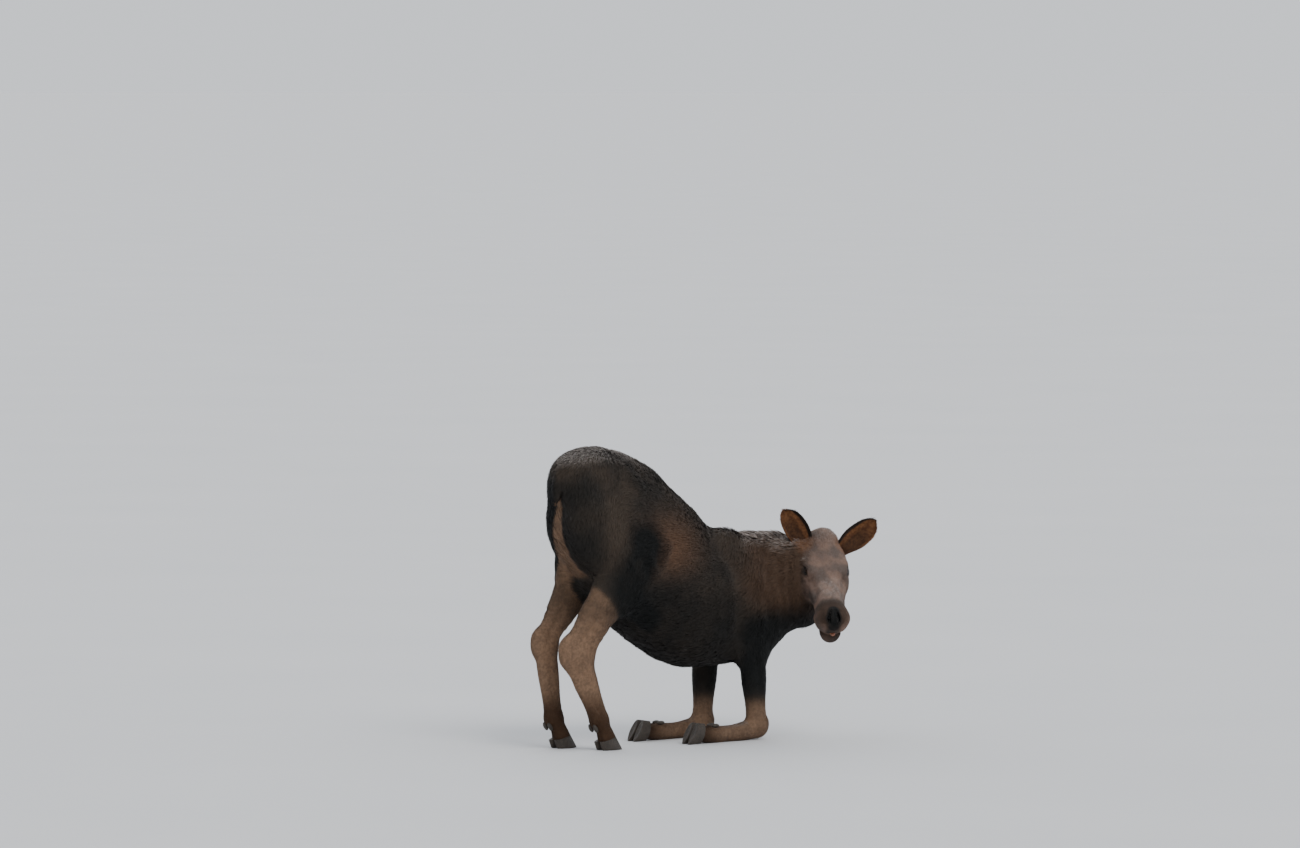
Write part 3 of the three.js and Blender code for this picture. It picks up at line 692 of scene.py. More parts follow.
def window(values, start, shape):
    i, j, k = start
    return values[i : i + shape[0], j : j + shape[1], k : k + shape[2]]


def surfaceNet(field, low, high, step):
    # a mesh of the field's zero, found in blocks so that only the space near it is measured
    block = 4
    counts = np.ceil((high - low) / (step * block)).astype(int)
    axes = [low[i] + step * np.arange(counts[i] * block + 1) for i in range(3)]
    corners = np.stack(np.meshgrid(*(a[::block] for a in axes), indexing="ij"), -1)
    rough = field(corners.reshape(-1, 3), False).reshape(corners.shape[:3])
    near = np.full(counts, 1e9)
    for corner in cubeCorners:
        near = np.minimum(near, np.abs(window(rough, corner, counts)))
    cells = near < step * block * 1.75
    for axis in range(3):
        cells = np.repeat(cells, block, axis=axis)
    values = rough
    for axis in range(3):
        values = np.repeat(values, block, axis=axis)
    shape = tuple(c * block + 1 for c in counts)
    values = values[: shape[0], : shape[1], : shape[2]].copy()
    wanted = np.zeros(shape, bool)
    for corner in cubeCorners:
        window(wanted, corner, cells.shape)[:] |= cells
    at = np.argwhere(wanted)
    points = np.stack([axes[i][at[:, i]] for i in range(3)], -1)
    values[wanted] = field(points, False)
    inside = values < 0
    total = np.zeros(cells.shape, int)
    for corner in cubeCorners:
        total += window(inside, corner, cells.shape)
    mixed = (total > 0) & (total < 8)
    index = np.full(cells.shape, -1)
    index[mixed] = np.arange(mixed.sum())
    at = np.argwhere(mixed)
    sums, hits = np.zeros((len(at), 3)), np.zeros(len(at))
    for axis in range(3):
        others = [a for a in range(3) if a != axis]
        for i in (0, 1):
            for j in (0, 1):
                start = np.zeros(3, int)
                start[others[0]], start[others[1]] = i, j
                a = at + start
                b = a.copy()
                b[:, axis] += 1
                va, vb = values[tuple(a.T)], values[tuple(b.T)]
                cross = (va < 0) != (vb < 0)
                t = np.where(cross, va / np.where(cross, va - vb, 1), 0)
                where = start + np.zeros((len(at), 3))
                where[:, axis] += t
                sums[cross] += where[cross]
                hits += cross
    points = low + step * (at + sums / hits[:, None])
    quads = []
    for axis in range(3):
        b, c = (axis + 1) % 3, (axis + 2) % 3
        lower = np.take(inside, range(inside.shape[axis] - 1), axis)
        upper = np.take(inside, range(1, inside.shape[axis]), axis)
        at = np.argwhere(lower != upper)
        at = at[(at[:, b] > 0) & (at[:, c] > 0) & (at[:, b] < shape[b] - 1) & (at[:, c] < shape[c] - 1)]
        flips = lower[tuple(at.T)]
        ring = []
        for db, dc in ((1, 1), (0, 1), (0, 0), (1, 0)):
            cell = at.copy()
            cell[:, b] -= db
            cell[:, c] -= dc
            ring.append(index[tuple(cell.T)])
        ring = np.stack(ring, -1)
        quads.append(np.where(flips[:, None], ring[:, ::-1], ring))
    quads = np.concatenate(quads)[:, ::-1]
    return points, np.concatenate([quads[:, [0, 1, 2]], quads[:, [0, 2, 3]]])


def edgesOf(faces, count):
    pairs = np.concatenate([faces[:, [0, 1]], faces[:, [1, 2]], faces[:, [2, 0]]])
    pairs = np.sort(pairs, axis=1)
    keys, back = np.unique(pairs[:, 0] * count + pairs[:, 1], return_inverse=True)
    return np.stack([keys // count, keys % count], -1), back.reshape(3, -1).T


def crossOf(p, faces):
    # each triangle's outward way, as long as twice its area
    return np.cross(p[faces[:, 1]] - p[faces[:, 0]], p[faces[:, 2]] - p[faces[:, 0]])


def normalsOf(p, faces):
    cross = crossOf(p, faces)
    total = np.stack(
        [sum(np.bincount(faces[:, k], cross[:, axis], len(p)) for k in range(3)) for axis in range(3)], -1
    )
    return unit(total)


def neighbourMean(p, edges):
    a, b = edges.T
    count = np.bincount(edges.ravel(), minlength=len(p)) + 1e-9
    total = [np.bincount(a, p[b, i], len(p)) + np.bincount(b, p[a, i], len(p)) for i in range(3)]
    return np.stack(total, -1) / count[:, None]


def relax(p, faces, share=0.5):
    # evens out the triangles without moving the surface in or out
    edges, _ = edgesOf(faces, len(p))
    move = neighbourMean(p, edges) - p
    normals = normalsOf(p, faces)
    return p + share * (move - (move * normals).sum(1, keepdims=True) * normals)


def smoothed(p, faces, share, rounds=6):
    # takes out the small steps of the limbs' stations, without shrinking
    edges, _ = edgesOf(faces, len(p))
    for k in range(2 * rounds):
        p = p + (0.55 if k % 2 == 0 else -0.57) * share[:, None] * (neighbourMean(p, edges) - p)
    return p


def refine(p, faces, wanted):
    # splits every edge that is longer than wanted at its middle
    edges, sides3 = edgesOf(faces, len(p))
    length = np.linalg.norm(p[edges[:, 0]] - p[edges[:, 1]], axis=1)
    middles = (p[edges[:, 0]] + p[edges[:, 1]]) / 2
    split = length > 1.38 * wanted(middles)
    if not split.any():
        return p, faces, 0
    number = np.full(len(edges), -1)
    number[split] = len(p) + np.arange(split.sum())
    marks = number[sides3]
    cut = marks >= 0
    count = cut.sum(1)
    made = [faces[count == 0]]
    for k in range(3):
        a, b, c = k, (k + 1) % 3, (k + 2) % 3
        one = (count == 1) & cut[:, k]
        f, m = faces[one], marks[one, k]
        made += [np.stack([f[:, a], m, f[:, c]], -1), np.stack([m, f[:, b], f[:, c]], -1)]
        two = (count == 2) & ~cut[:, c]
        f, m, n = faces[two], marks[two, a], marks[two, b]
        made += [
            np.stack([m, f[:, b], n], -1),
            np.stack([f[:, a], m, n], -1),
            np.stack([f[:, a], n, f[:, c]], -1),
        ]
    f, m = faces[count == 3], marks[count == 3]
    made += [
        np.stack([f[:, 0], m[:, 0], m[:, 2]], -1),
        np.stack([m[:, 0], f[:, 1], m[:, 1]], -1),
        np.stack([m[:, 2], m[:, 1], f[:, 2]], -1),
        m,
    ]
    return np.concatenate([p, middles[split]]), np.concatenate(made), int(split.sum())


skinSize = {"net": 13, "trunk": 13, "legs": 6.5, "head": 4.6, "eye": 1.5, "nose": 1.8, "mouth": 2.4}


def eyeFarOf(h):
    # distance from the nearer eye, in the head's frame
    m = np.abs(h) * (1, 1, 0) + h * (0, 0, 1)
    return np.linalg.norm(m - np.array(eye["place"]), axis=1)


def edgeWanted(p):
    size = np.full(len(p), float(skinSize["trunk"]))
    low = (p[:, 2] < 640) & (p[:, 0] < 330)
    knees = (p[:, 2] < 330) & (p[:, 0] > 540)
    size[low | knees] = skinSize["legs"]
    neck = (p[:, 0] > 960) & (p[:, 2] > 500)
    size[neck] = np.minimum(size[neck], 10)
    h = toHead(p)
    head = (h[:, 0] > -20) & (h[:, 0] < 600) & (np.abs(h[:, 1]) < 150) & (h[:, 2] > -300)
    size[head] = skinSize["head"]
    m = np.abs(h) * (1, 1, 0) + h * (0, 0, 1)
    eyeFar = eyeFarOf(h)
    size = np.minimum(size, np.where(eyeFar < 36, skinSize["eye"], np.where(eyeFar < 48, 2.6, 99)))
    noseFar = np.minimum.reduce([strokeNear(m, line) for line, _, _ in nostrils])
    size = np.minimum(size, np.where(noseFar < 14, skinSize["nose"], 99))
    lips = head & (h[:, 0] > 306) & (np.abs(h[:, 2] - lipLine(h[:, 0])) < 9)
    size[lips] = np.minimum(size[lips], skinSize["mouth"])
    return size


def makeSkin():
    low, high = np.array([-70.0, -620.0, -30.0]), np.array([1520.0, 300.0, 1400.0])
    p, faces = surfaceNet(flesh, low, high, skinSize["net"])
    print("skin net:", len(p), "points")
    p = settle(flesh, p, 2)
    for _ in range(5):
        p = relax(relax(p, faces), faces)
        p, faces, grown = refine(p, faces, edgeWanted)
        p = settle(flesh, p, 1)
        print("skin refined by", grown, "to", len(faces), "triangles")
        if grown < 300:
            break
    for _ in range(2):
        p = settle(flesh, relax(p, faces, 0.4), 1)
    p = settle(flesh, p, 1, most=2.0)
    h = toHead(p)
    body = ease(60, -20, h[:, 0]) + ease(150, 240, np.abs(h[:, 1]))
    inNose = ease(-2, -5, smoothFlesh(p)) * ease(420, 440, h[:, 0])
    p = smoothed(p, faces, np.clip(body, 0, 1) * ease(520, 640, p[:, 2]) + 0.7 * inNose, 7)
    p[:, 2] = np.maximum(p[:, 2], 1.0)
    return p, faces


# The ears and lids are part of the one skin.


def gridFaces(rows, columns, closed=False):
    # triangles over a grid of points, row by row
    i, j = np.meshgrid(np.arange(rows - 1), np.arange(columns if closed else columns - 1), indexing="ij")
    a, b = i * columns + j, i * columns + (j + 1) % columns
    c, d = b + columns, a + columns
    return np.concatenate([np.stack([a, b, c], -1).reshape(-1, 3), np.stack([a, c, d], -1).reshape(-1, 3)])


def earWidth(share):
    rise = 0.5 + 0.5 * np.sin(np.minimum(1, share / 0.52) * np.pi - np.pi / 2)
    fall = np.sqrt(np.maximum(0.002, 1 - (np.maximum(share - 0.46, 0) / 0.54) ** 2.7))
    return (0.52 + 0.48 * rise) * fall


earGrid = ((46, 31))  # rows along an ear, and points across each of its faces


def makeEar(name):
    # a cupped shell with a rolled edge: its points and faces and, for each point, 1 inside the cup,
    # -1 to 1 across the ear and 0 to 1 up it
    rows, across = earGrid
    side, axis = sides[name], earAxis(name)
    front = np.array([math.cos(droop), 0, math.sin(droop)])
    sideways = unit(np.cross(axis, front))
    share = 1 - (1 - np.linspace(0, 1, rows)) ** 1.7
    along = mix(-ear["sunk"], ear["length"] - 7, share)
    wide = (ear["width"] / 2 - 5) * earWidth(share)
    bend = math.radians(ear["cup"]) * (1 - 0.45 * share)
    radius = wide / np.sin(bend)
    root = np.array(earStance[name][0])
    t = np.sin(np.linspace(-1, 1, across) * np.pi / 2) * 0.5 + np.linspace(-1, 1, across) * 0.5
    layers = []
    for inside in (0, 1):
        thick = 2.6 * (1 - 0.5 * share[:, None]) * (1 - 0.5 * np.abs(t) ** 6)
        ridges = 1.3 * np.cos(t * 9) * ease(0.1, 0.5, share)[:, None] * (1 - np.abs(t) ** 2)
        offset = -thick + ridges if inside else thick
        # the edge rolls a little inward
        lip = -3.4 * ease(0.72, 1, np.abs(t)) * ease(0.15, 0.5, share)[:, None]
        angle = t * bend[:, None]
        out = (radius[:, None] + offset + lip) * np.sin(angle)
        back = (radius[:, None] + offset + lip) * np.cos(angle) - (radius * np.cos(bend))[:, None]
        sway = 5 * np.sin(share * np.pi * 1.3)[:, None] * t
        layers.append(
            root
            + (along[:, None] + sway)[..., None] * axis
            + out[..., None] * sideways
            - back[..., None] * front
        )
    ring = np.concatenate([layers[0], layers[1][:, ::-1]], 1)
    cup = np.concatenate([np.zeros((rows, across)), np.ones((rows, across))], 1)
    faces = gridFaces(rows, 2 * across, closed=True)
    last = (rows - 1) * 2 * across
    k = np.arange(across - 1)
    back = last + 2 * across - 1 - k
    cap = [[last + k, last + k + 1, back - 1], [last + k, back - 1, back]]
    faces = np.concatenate([faces] + [np.stack(c, -1) for c in cap])
    points = fromHead(ring.reshape(-1, 3))
    reach = side * np.tile(np.concatenate([t, t[::-1]]), rows)
    return points, faced(points, faces), cup.ravel(), reach, np.repeat(share, 2 * across)


def faced(points, faces):
    # triangles turned so that a closed shape faces outward
    a, b, c = points[faces[:, 0]], points[faces[:, 1]], points[faces[:, 2]]
    middle = points.mean(0)
    volume = ((a - middle) * np.cross(b - middle, c - middle)).sum()
    return faces if volume > 0 else faces[:, ::-1]


def outwardFaces(points, faces, centre):
    # triangles turned away from a place in the head
    outward = points[faces].mean(1) - fromHead(centre)
    return faces if (crossOf(points, faces) * outward).sum() > 0 else faces[:, ::-1]


# each row of a lid: how far from the opening, how far off the ball, and how far off the skin
lidRows = [
    (-0.6, 0.1, 0),
    (-0.3, 1.0, 0),
    (0.5, 3.0, 0),
    (2.0, 4.6, 0.6),
    (4.0, 5.6, 1.3),
    (6.2, 5.6, 1.6),
    (7.6, 5.2, 0.7),
    (8.8, 5.6, 1.3),
    (11.0, 5.4, 1.2),
    (13.5, 5.0, 0.2),
    (15.5, 4.4, -2.5),
]


def makeLids(side):
    # a ring round the ball from the edge of the opening out to the skin
    count = 64
    centre, out, fore, over = eyeFrame(side)
    around = ringOf(count)
    u = eye["halfLength"] * np.cos(around)
    along = np.abs(np.cos(around))
    w = np.where(np.sin(around) > 0, eye["upper"] * (1 - along**2.2), -eye["lower"] * (1 - along**1.9))
    edge = np.stack([u, w], -1)
    ahead, behind = np.roll(edge, -1, 0), np.roll(edge, 1, 0)
    tangent = unit(ahead - behind)
    outward = unit(np.stack([tangent[:, 1], -tangent[:, 0]], -1) + edge / 60)
    rows = []
    for away, offBall, offSkin in lidRows:
        flat = edge + outward * away
        far = np.maximum(np.linalg.norm(flat, axis=1), 1e-6)
        angle = far / eye["radius"]
        way = (flat[:, :1] * fore + flat[:, 1:] * over) / far[:, None]
        ray = np.cos(angle)[:, None] * out + np.sin(angle)[:, None] * way
        # the skin lies between these two, and the gap is halved until it is found
        low, high = np.full(count, eye["radius"] - 4.0), np.full(count, eye["radius"] + 34.0)
        for _ in range(14):
            middle = (low + high) / 2
            inside = lidlessFlesh(fromHead(centre + ray * middle[:, None])) < 0
            low, high = np.where(inside, middle, low), np.where(inside, high, middle)
        onSkin = low + offSkin
        reach = mix(eye["radius"] + offBall, onSkin, ease(1.0, 7.5, away))
        rows.append(centre + ray * reach[:, None])
    points = fromHead(np.concatenate(rows))
    faces = gridFaces(len(lidRows), count, closed=True)
    faces = outwardFaces(points, faces, centre)
    rim = np.repeat([ease(6.5, 1.5, row[0]) for row in lidRows], count)
    return points, faces, rim


def lidlessFlesh(p):
    # the skin round the eye before its hole is cut
    value = flesh(p, False)
    h = toHead(p)
    for s in (1, -1):
        centre = eyeFrame(s)[0]
        value = melt(12, value, np.linalg.norm(h - centre, axis=1) - eye["radius"] - eye["lid"])
    return value


# How the coat lies, its markings, and the shade painted into its colour.


def surveyAll(p):
    rows = {name: limb.survey(p) for name, limb in limbs.items()}
    h = toHead(p)
    for name, limb in headLimbs.items():
        value, share, way, off = limb.survey(h)
        rows[name] = (value, share, way @ headTurn.T, off @ headTurn.T)
    return rows, h


everyLimb = {**limbs, **headLimbs}


def shareOn(weight, *parts):
    return sum(weight[f"{part}_{name}"] for part in parts for name in sides)


def coatOf(p, n):
    # for points of the skin: the way of the hair, its length and depth, each limb's share, and the markings
    # with their painted shade
    rows, h = surveyAll(p)
    weight = {name: np.exp(-np.clip(rows[name][0], -30, 400) / 14) + 1e-12 for name in rows}
    total = sum(weight.values())
    weight = {name: w / total for name, w in weight.items()}
    flow, hair, depth = np.zeros((len(p), 3)), np.zeros(len(p)), np.zeros(len(p))
    for name, limb in everyLimb.items():
        share = rows[name][1]
        flow += weight[name][:, None] * limb.lie * rows[name][2]
        hair += weight[name] * alongLimb(limb.hair, share)
        depth += weight[name] * alongLimb(limb.depth, share)
    onNeck = weight["neck"]
    onTrunk = weight["trunk"] + shareOn(weight, "shoulder", "arm", "thigh")
    onShoulder = shareOn(weight, "shoulder", "arm")
    steep = np.abs(n[:, 1])
    flow += np.array([0, 0, -1]) * (0.8 * (onTrunk + onNeck) * steep)[:, None]
    flow += np.array([-1, 0, 0]) * (0.35 * onTrunk)[:, None]
    flow += np.array([-0.45, 0, -0.9]) * onShoulder[:, None]
    under = ease(-0.2, -0.9, n[:, 2])
    crest = (onNeck + weight["trunk"] * ease(640, 860, p[:, 0])) * ease(0.3, 0.85, n[:, 2])
    hair = hair + 14 * crest + 5 * under * onTrunk
    depth = depth + 3 * crest
    marks, near = markingsAndShadeOf(p, n, h, weight, rows)
    hair = hair * (1 - 0.2 * near["lip"])
    lie = {"flow": flow, "hair": hair, "depth": depth}
    return {**lie, "marks": marks, "weight": weight, "rows": rows, "bare": near["bare"]}


markNames = ["pale", "dark", "warm", "frost", "face", "orange", "bare", "foot"]


def markingsAndShadeOf(p, n, h, weight, rows):
    f, l, u = p.T
    m = {name: np.zeros(len(p)) for name in markNames}
    hind = shareOn(weight, "thigh", "shin", "pastern")
    fore = shareOn(weight, "forearm", "forecannon")
    onHead = weight["skull"] + weight["jaw"]
    onNeck = weight["neck"]
    body = np.clip(1 - onHead - onNeck, 0, 1)
    side = np.where(l > 0, 1.0, -1.0)
    inner = ease(0.1, 0.8, -n[:, 1] * side)
    # pale legs, whose upper edge slants down to the front
    edge = 885 - 1.2 * f + 30 * inner
    pale = ease(46, -46, u - edge) * ease(0.25, 0.6, hind) * ease(430, 330, f)
    pale = np.maximum(pale, 0.8 * ease(270, 130, u) * ease(0.3, 0.7, fore))
    stripeHalf = np.interp(u, [720, 800, 850, 930, 1010, 1118], [115, 85, 60, 36, 24, 9])
    centre = np.interp(u, [720, 800, 930, 1118], [20, 44, 28, 2])
    stripe = ease(9, -7, np.abs(l - centre) - stripeHalf) * ease(170, 120, f)
    stripe = stripe * ease(1124, 1104, u) * ease(650, 700, u)
    m["pale"] = np.clip(np.maximum(pale, stripe), 0, 1)
    # near-black haunch edges, flank, belly and chest: the coat's own dark colour, with painted shade where
    # these lie away from the light
    # painted shade on the backs of the haunches, partly their dark fur; the left haunch, which faces away
    # from the light, gets more
    shadedRear = ease(-0.1, -0.6, n[:, 0]) * ease(200, 120, f) * ease(740, 820, u) * ease(1262, 1180, u)
    shadedRear = shadedRear * np.where(l > 0, 1.0, 0.55) * np.where(l > 0, ease(800, 850, u), 1.0)
    # painted shade in the hollow of the flank before the thigh, partly the dark coat
    flankLine = np.array([[350, 0, 910], [302, 0, 830], [262, 0, 740], [292, 0, 640], [400, 0, 560]], float)
    flank = ease(165, 50, strokeNear(p * (1, 0, 1), flankLine)) * ease(60, 120, np.abs(l))
    # darker low on the belly: partly the dark coat, partly painted shade on the underside
    low = ease(800, 640, u + 0.16 * (f - 600)) * ease(240, 330, f)
    # painted shadow: the chest and forearms are made near-black where they lie in shade down to the ground
    chest = ease(820, 960, f) * ease(660, 540, u)
    forearm = 0.85 * fore * ease(150, 290, u)
    shade = np.maximum.reduce([shadedRear * body, flank * body, 0.7 * low * body, chest * (1 - onHead), forearm])
    # painted shade on the lower neck, under the head
    shadedThroat = onNeck * ease(620, 520, u)
    mirrored = h * (1, 0, 1) + np.abs(h) * (0, 1, 0)
    # painted shade on the side planes of the face
    shadedCheek = ease(0.3, 0.85, np.abs(n @ headTurn[:, 1])) * ease(-50, -95, h[:, 2])
    shadedCheek = shadedCheek * ease(150, 230, h[:, 0]) * ease(400, 330, h[:, 0])
    eyeFar = np.linalg.norm(mirrored - np.array(eye["place"]), axis=1)
    # painted shade under the chin and lower jaw
    shadedChin = onHead * ease(-158, -172, h[:, 2]) * ease(300, 400, h[:, 0]) * 0.45
    noseTop = strokeNear(mirrored, [(472, 0, -36), (496, 12, -62), (506, 0, -92)])
    noseFront = strokeNear(mirrored, [(504, 0, -92), (508, 0, -126)])
    nose = np.maximum(ease(38, 19, noseTop) * onHead, 0.8 * ease(42, 22, noseFront) * onHead)
    lipEdge = 0.85 * ease(14, 6, np.abs(h[:, 2] - lipLine(h[:, 0]))) * ease(330, 360, h[:, 0]) * onHead
    lids = 0.75 * ease(32, 22, eyeFar)
    muzzleTop = onHead * ease(-0.4, 0.5, n @ headTurn[:, 2])
    muzzleTop = muzzleTop * ease(366, 405, h[:, 0]) * ease(92, 44, np.abs(h[:, 1]))
    cheekShade = 0.22 * shadedCheek * onHead
    # the dark share: the painted shade above, with the lids, nose pad, lip edge and muzzle top, which are
    # dark in their own colour
    shade = np.maximum.reduce([shade, shadedThroat, cheekShade, lids, shadedChin, nose, lipEdge, 0.5 * muzzleTop])
    gaskin = (0.44 + 0.3 * ease(120, 240, f)) * ease(490, 640, u) * hind * m["pale"]
    m["dark"] = np.clip(shade * (1 - m["pale"]) + gaskin, 0, 1)
    # warm ribs, shoulder and neck
    ribs = np.exp(-(((f - 500) / 150) ** 2) - (((u - 905) / 125) ** 2)) * ease(0.3, 0.7, np.abs(n[:, 1]))
    shoulder = 0.5 * ease(900, 1010, f) * body * ease(600, 700, u)
    m["warm"] = np.clip(np.maximum(1.1 * ribs, 0.4 * onNeck * ease(560, 660, u)) + shoulder, 0, 1)
    # hair tips pale where frost would lie: the top of the rump, the crest, the forehead and the nose
    top = ease(0.55, 0.97, n[:, 2])
    faceUp = n @ headTurn[:, 2]
    rump = top * ease(1120, 1270, u) * ease(520, 330, f)
    crest = top * ease(760, 960, f) * (1 - onHead) * 0.8
    brow = onHead * ease(0.2, 0.85, faceUp) * ease(-20, 40, h[:, 0]) * ease(440, 380, h[:, 0])
    bridge = np.exp(-(((h[:, 0] - 318) / 58) ** 2)) + np.exp(-(((h[:, 0] - 10) / 46) ** 2))
    hole = strokeNear(mirrored, nostrils[0][0], nostrils[0][1])
    gape = mass(mirrored, (488, 0, -149), (44, 28, 11), -4)
    deep = smoothFlesh(p) * (onHead > 0.5)
    cavity = ease(-1.5, -5, deep) * (ease(12, 6, hole) + ease(12, 6, gape))
    shadedHole = np.clip(cavity, 0, 1) * onHead  # in bare places the frost share holds the painted shade of the nostrils and the mouth gap, as blackness
    fleck = 0.7 + 0.5 * np.sin(h[:, 0] / 9 + 2 * np.sin(h[:, 1] / 13)) * np.sin(h[:, 1] / 8 + 1)
    brow = brow * (0.12 + 0.66 * bridge * fleck)
    # the frost share, which inside the nostrils and mouth carries painted shade
    m["frost"] = np.clip(np.maximum.reduce([rump, crest, brow, shadedHole]), 0, 1)
    m["face"] = np.clip(onHead * 1.15, 0, 1) * ease(-75, 10, h[:, 0])
    ragged = 1.5 * np.sin(h[:, 0] / 5) * np.sin(h[:, 1] / 4)
    pad = strokeNear(h, np.array([(484, 0, -50), (502, 0, -72), (511, 0, -96)], float), (6, 11, 4)) + ragged
    bare = np.maximum.reduce([ease(3, -1, pad), ease(4, 1, hole), ease(2, -2, gape), shadedHole])
    m["bare"] = np.clip(bare * onHead, 0, 1)
    earFar = np.linalg.norm(mirrored - (44, 75, 0), axis=1)
    m["orange"] = 0.45 * ease(66, 30, earFar)
    leg = hind + fore
    shin = shareOn(weight, "shin", "pastern", "forecannon")
    lowHind = ease(300, 150, u) * ease(500, 420, f)
    toe = ease(0.55, 0.95, rows["forecannon_left"][1]) * weight["forecannon_left"]
    toe += ease(0.55, 0.95, rows["forecannon_right"][1]) * weight["forecannon_right"]
    front = ease(0.25, 0.85, n[:, 0]) * ease(0.2, 0.6, shin) * ease(560, 420, f) * 0.95
    neckShade = 0.6 * onNeck * ease(480, 600, u)
    foot = np.maximum.reduce([lowHind * leg, front * hind, toe, 0.78 * muzzleTop, neckShade])
    m["foot"] = np.clip(foot, 0, 1)
    lip = onHead * ease(420, 480, h[:, 0])
    return np.stack([m[name] for name in markNames], -1), {"lip": lip, "bare": m["bare"]}


coatPieces = ["rump", "barrel_left", "barrel_right", "brisket", "neck", "head_left", "head_right", "ears"]
coatPieces += ["hind_left", "hind_right", "fore_left", "fore_right"]
pieceLimbs = {
    "rump": ["trunk", "thigh_left", "thigh_right", "tail"],
    "barrel_left": ["trunk"],
    "barrel_right": ["trunk"],
    "brisket": ["trunk", "arm_left", "arm_right"],
    "neck": ["neck"],
    "head_left": ["skull", "jaw"],
    "head_right": ["skull", "jaw"],
    "ears": [],
    "hind_left": ["thigh_left", "shin_left", "pastern_left"],
    "hind_right": ["thigh_right", "shin_right", "pastern_right"],
    "fore_left": ["forearm_left", "forecannon_left"],
    "fore_right": ["forearm_right", "forecannon_right"],
}


def piecesOf(p, coat, onEar):
    # which coat piece each point's hair goes to
    f, l, u = p.T
    weight = coat["weight"]
    made = np.full(len(p), coatPieces.index("rump"))
    headShare = weight["skull"] + weight["jaw"]
    made[f > 330] = coatPieces.index("barrel_left")
    made[(f > 330) & (l < 0)] = coatPieces.index("barrel_right")
    made[f > 800] = coatPieces.index("brisket")
    made[(weight["neck"] > 0.5) | (f > 1080)] = coatPieces.index("neck")
    leftHalf = toHead(p)[:, 1] > 0
    made[(headShare > 0.5) & leftHalf] = coatPieces.index("head_left")
    made[(headShare > 0.5) & ~leftHalf] = coatPieces.index("head_right")
    for s, way in sides.items():
        onLeg = weight[f"thigh_{s}"] + weight[f"shin_{s}"] + weight[f"pastern_{s}"]
        legs = (onLeg > 0.4) & (u < 700) & (f < 330)
        made[legs & (l * way > 0)] = coatPieces.index(f"hind_{s}")
        arms = (u < 420) & (f > 560) & (l * way > 0)
        made[arms & (weight["trunk"] < 0.5)] = coatPieces.index(f"fore_{s}")
    made[onEar] = coatPieces.index("ears")
    return made


def unwrapOf(p, coat, pieces, earMap):
    # a flat map of the skin's own shape for each coat piece: round a limb and along it
    made = np.zeros((len(p), 2))
    for index, name in enumerate(coatPieces):
        here = np.flatnonzero(pieces == index)
        if not len(here):
            continue
        if name == "ears":
            made[here] = earMap[here]
            continue
        names = pieceLimbs[name]
        values = np.stack([coat["rows"][limb][0][here] for limb in names])
        best = values.argmin(0)
        for order, limbName in enumerate(names):
            mine = here[best == order]
            limb = everyLimb[limbName]
            share, way, off = (row[mine] for row in coat["rows"][limbName][1:])
            wide = limb.wide @ headTurn.T if limbName in headLimbs else limb.wide
            deep = unit(np.cross(way, wide))
            angle = np.arctan2(off @ wide, (off * deep).sum(1))
            if name.startswith("barrel"):
                angle = np.abs(angle) * 2 - np.pi
                share = (share - 0.1) / 0.6
            made[mine, 0] = (angle / np.pi + 1) / 2
            made[mine, 1] = (order + np.clip(share, 0, 1)) / len(names)
    return np.clip(made, 0.004, 0.993)


# A small language for shader nodes, and the materials of the skin and coat.


class Wire:
    # a socket, with arithmetic that adds Math nodes

    def __init__(self, graph, socket):
        self.graph, self.socket = graph, socket

    def math(self, operation, *others, clamp=False):
        settings = {"operation": operation, "use_clamp": clamp}
        return self.graph.node("ShaderNodeMath", settings, dict(enumerate((self, *others))))

    def __add__(self, other):
        return self.math("ADD", other)

    def __sub__(self, other):
        return self.math("SUBTRACT", other)

    def __rsub__(self, other):
        return self.graph.node("ShaderNodeMath", {"operation": "SUBTRACT"}, {0: other, 1: self})

    def __mul__(self, other):
        return self.math("MULTIPLY", other)

    __radd__, __rmul__ = __add__, __mul__

    def held(self):
        # kept between 0 and 1
        return self.math("MULTIPLY", 1.0, clamp=True)

    def soft(self, low, high):
        # 0 below low, 1 above high, and smooth between
        values = {"Value": self, "From Min": low, "From Max": high}
        return self.graph.node("ShaderNodeMapRange", {"interpolation_type": "SMOOTHSTEP"}, values)


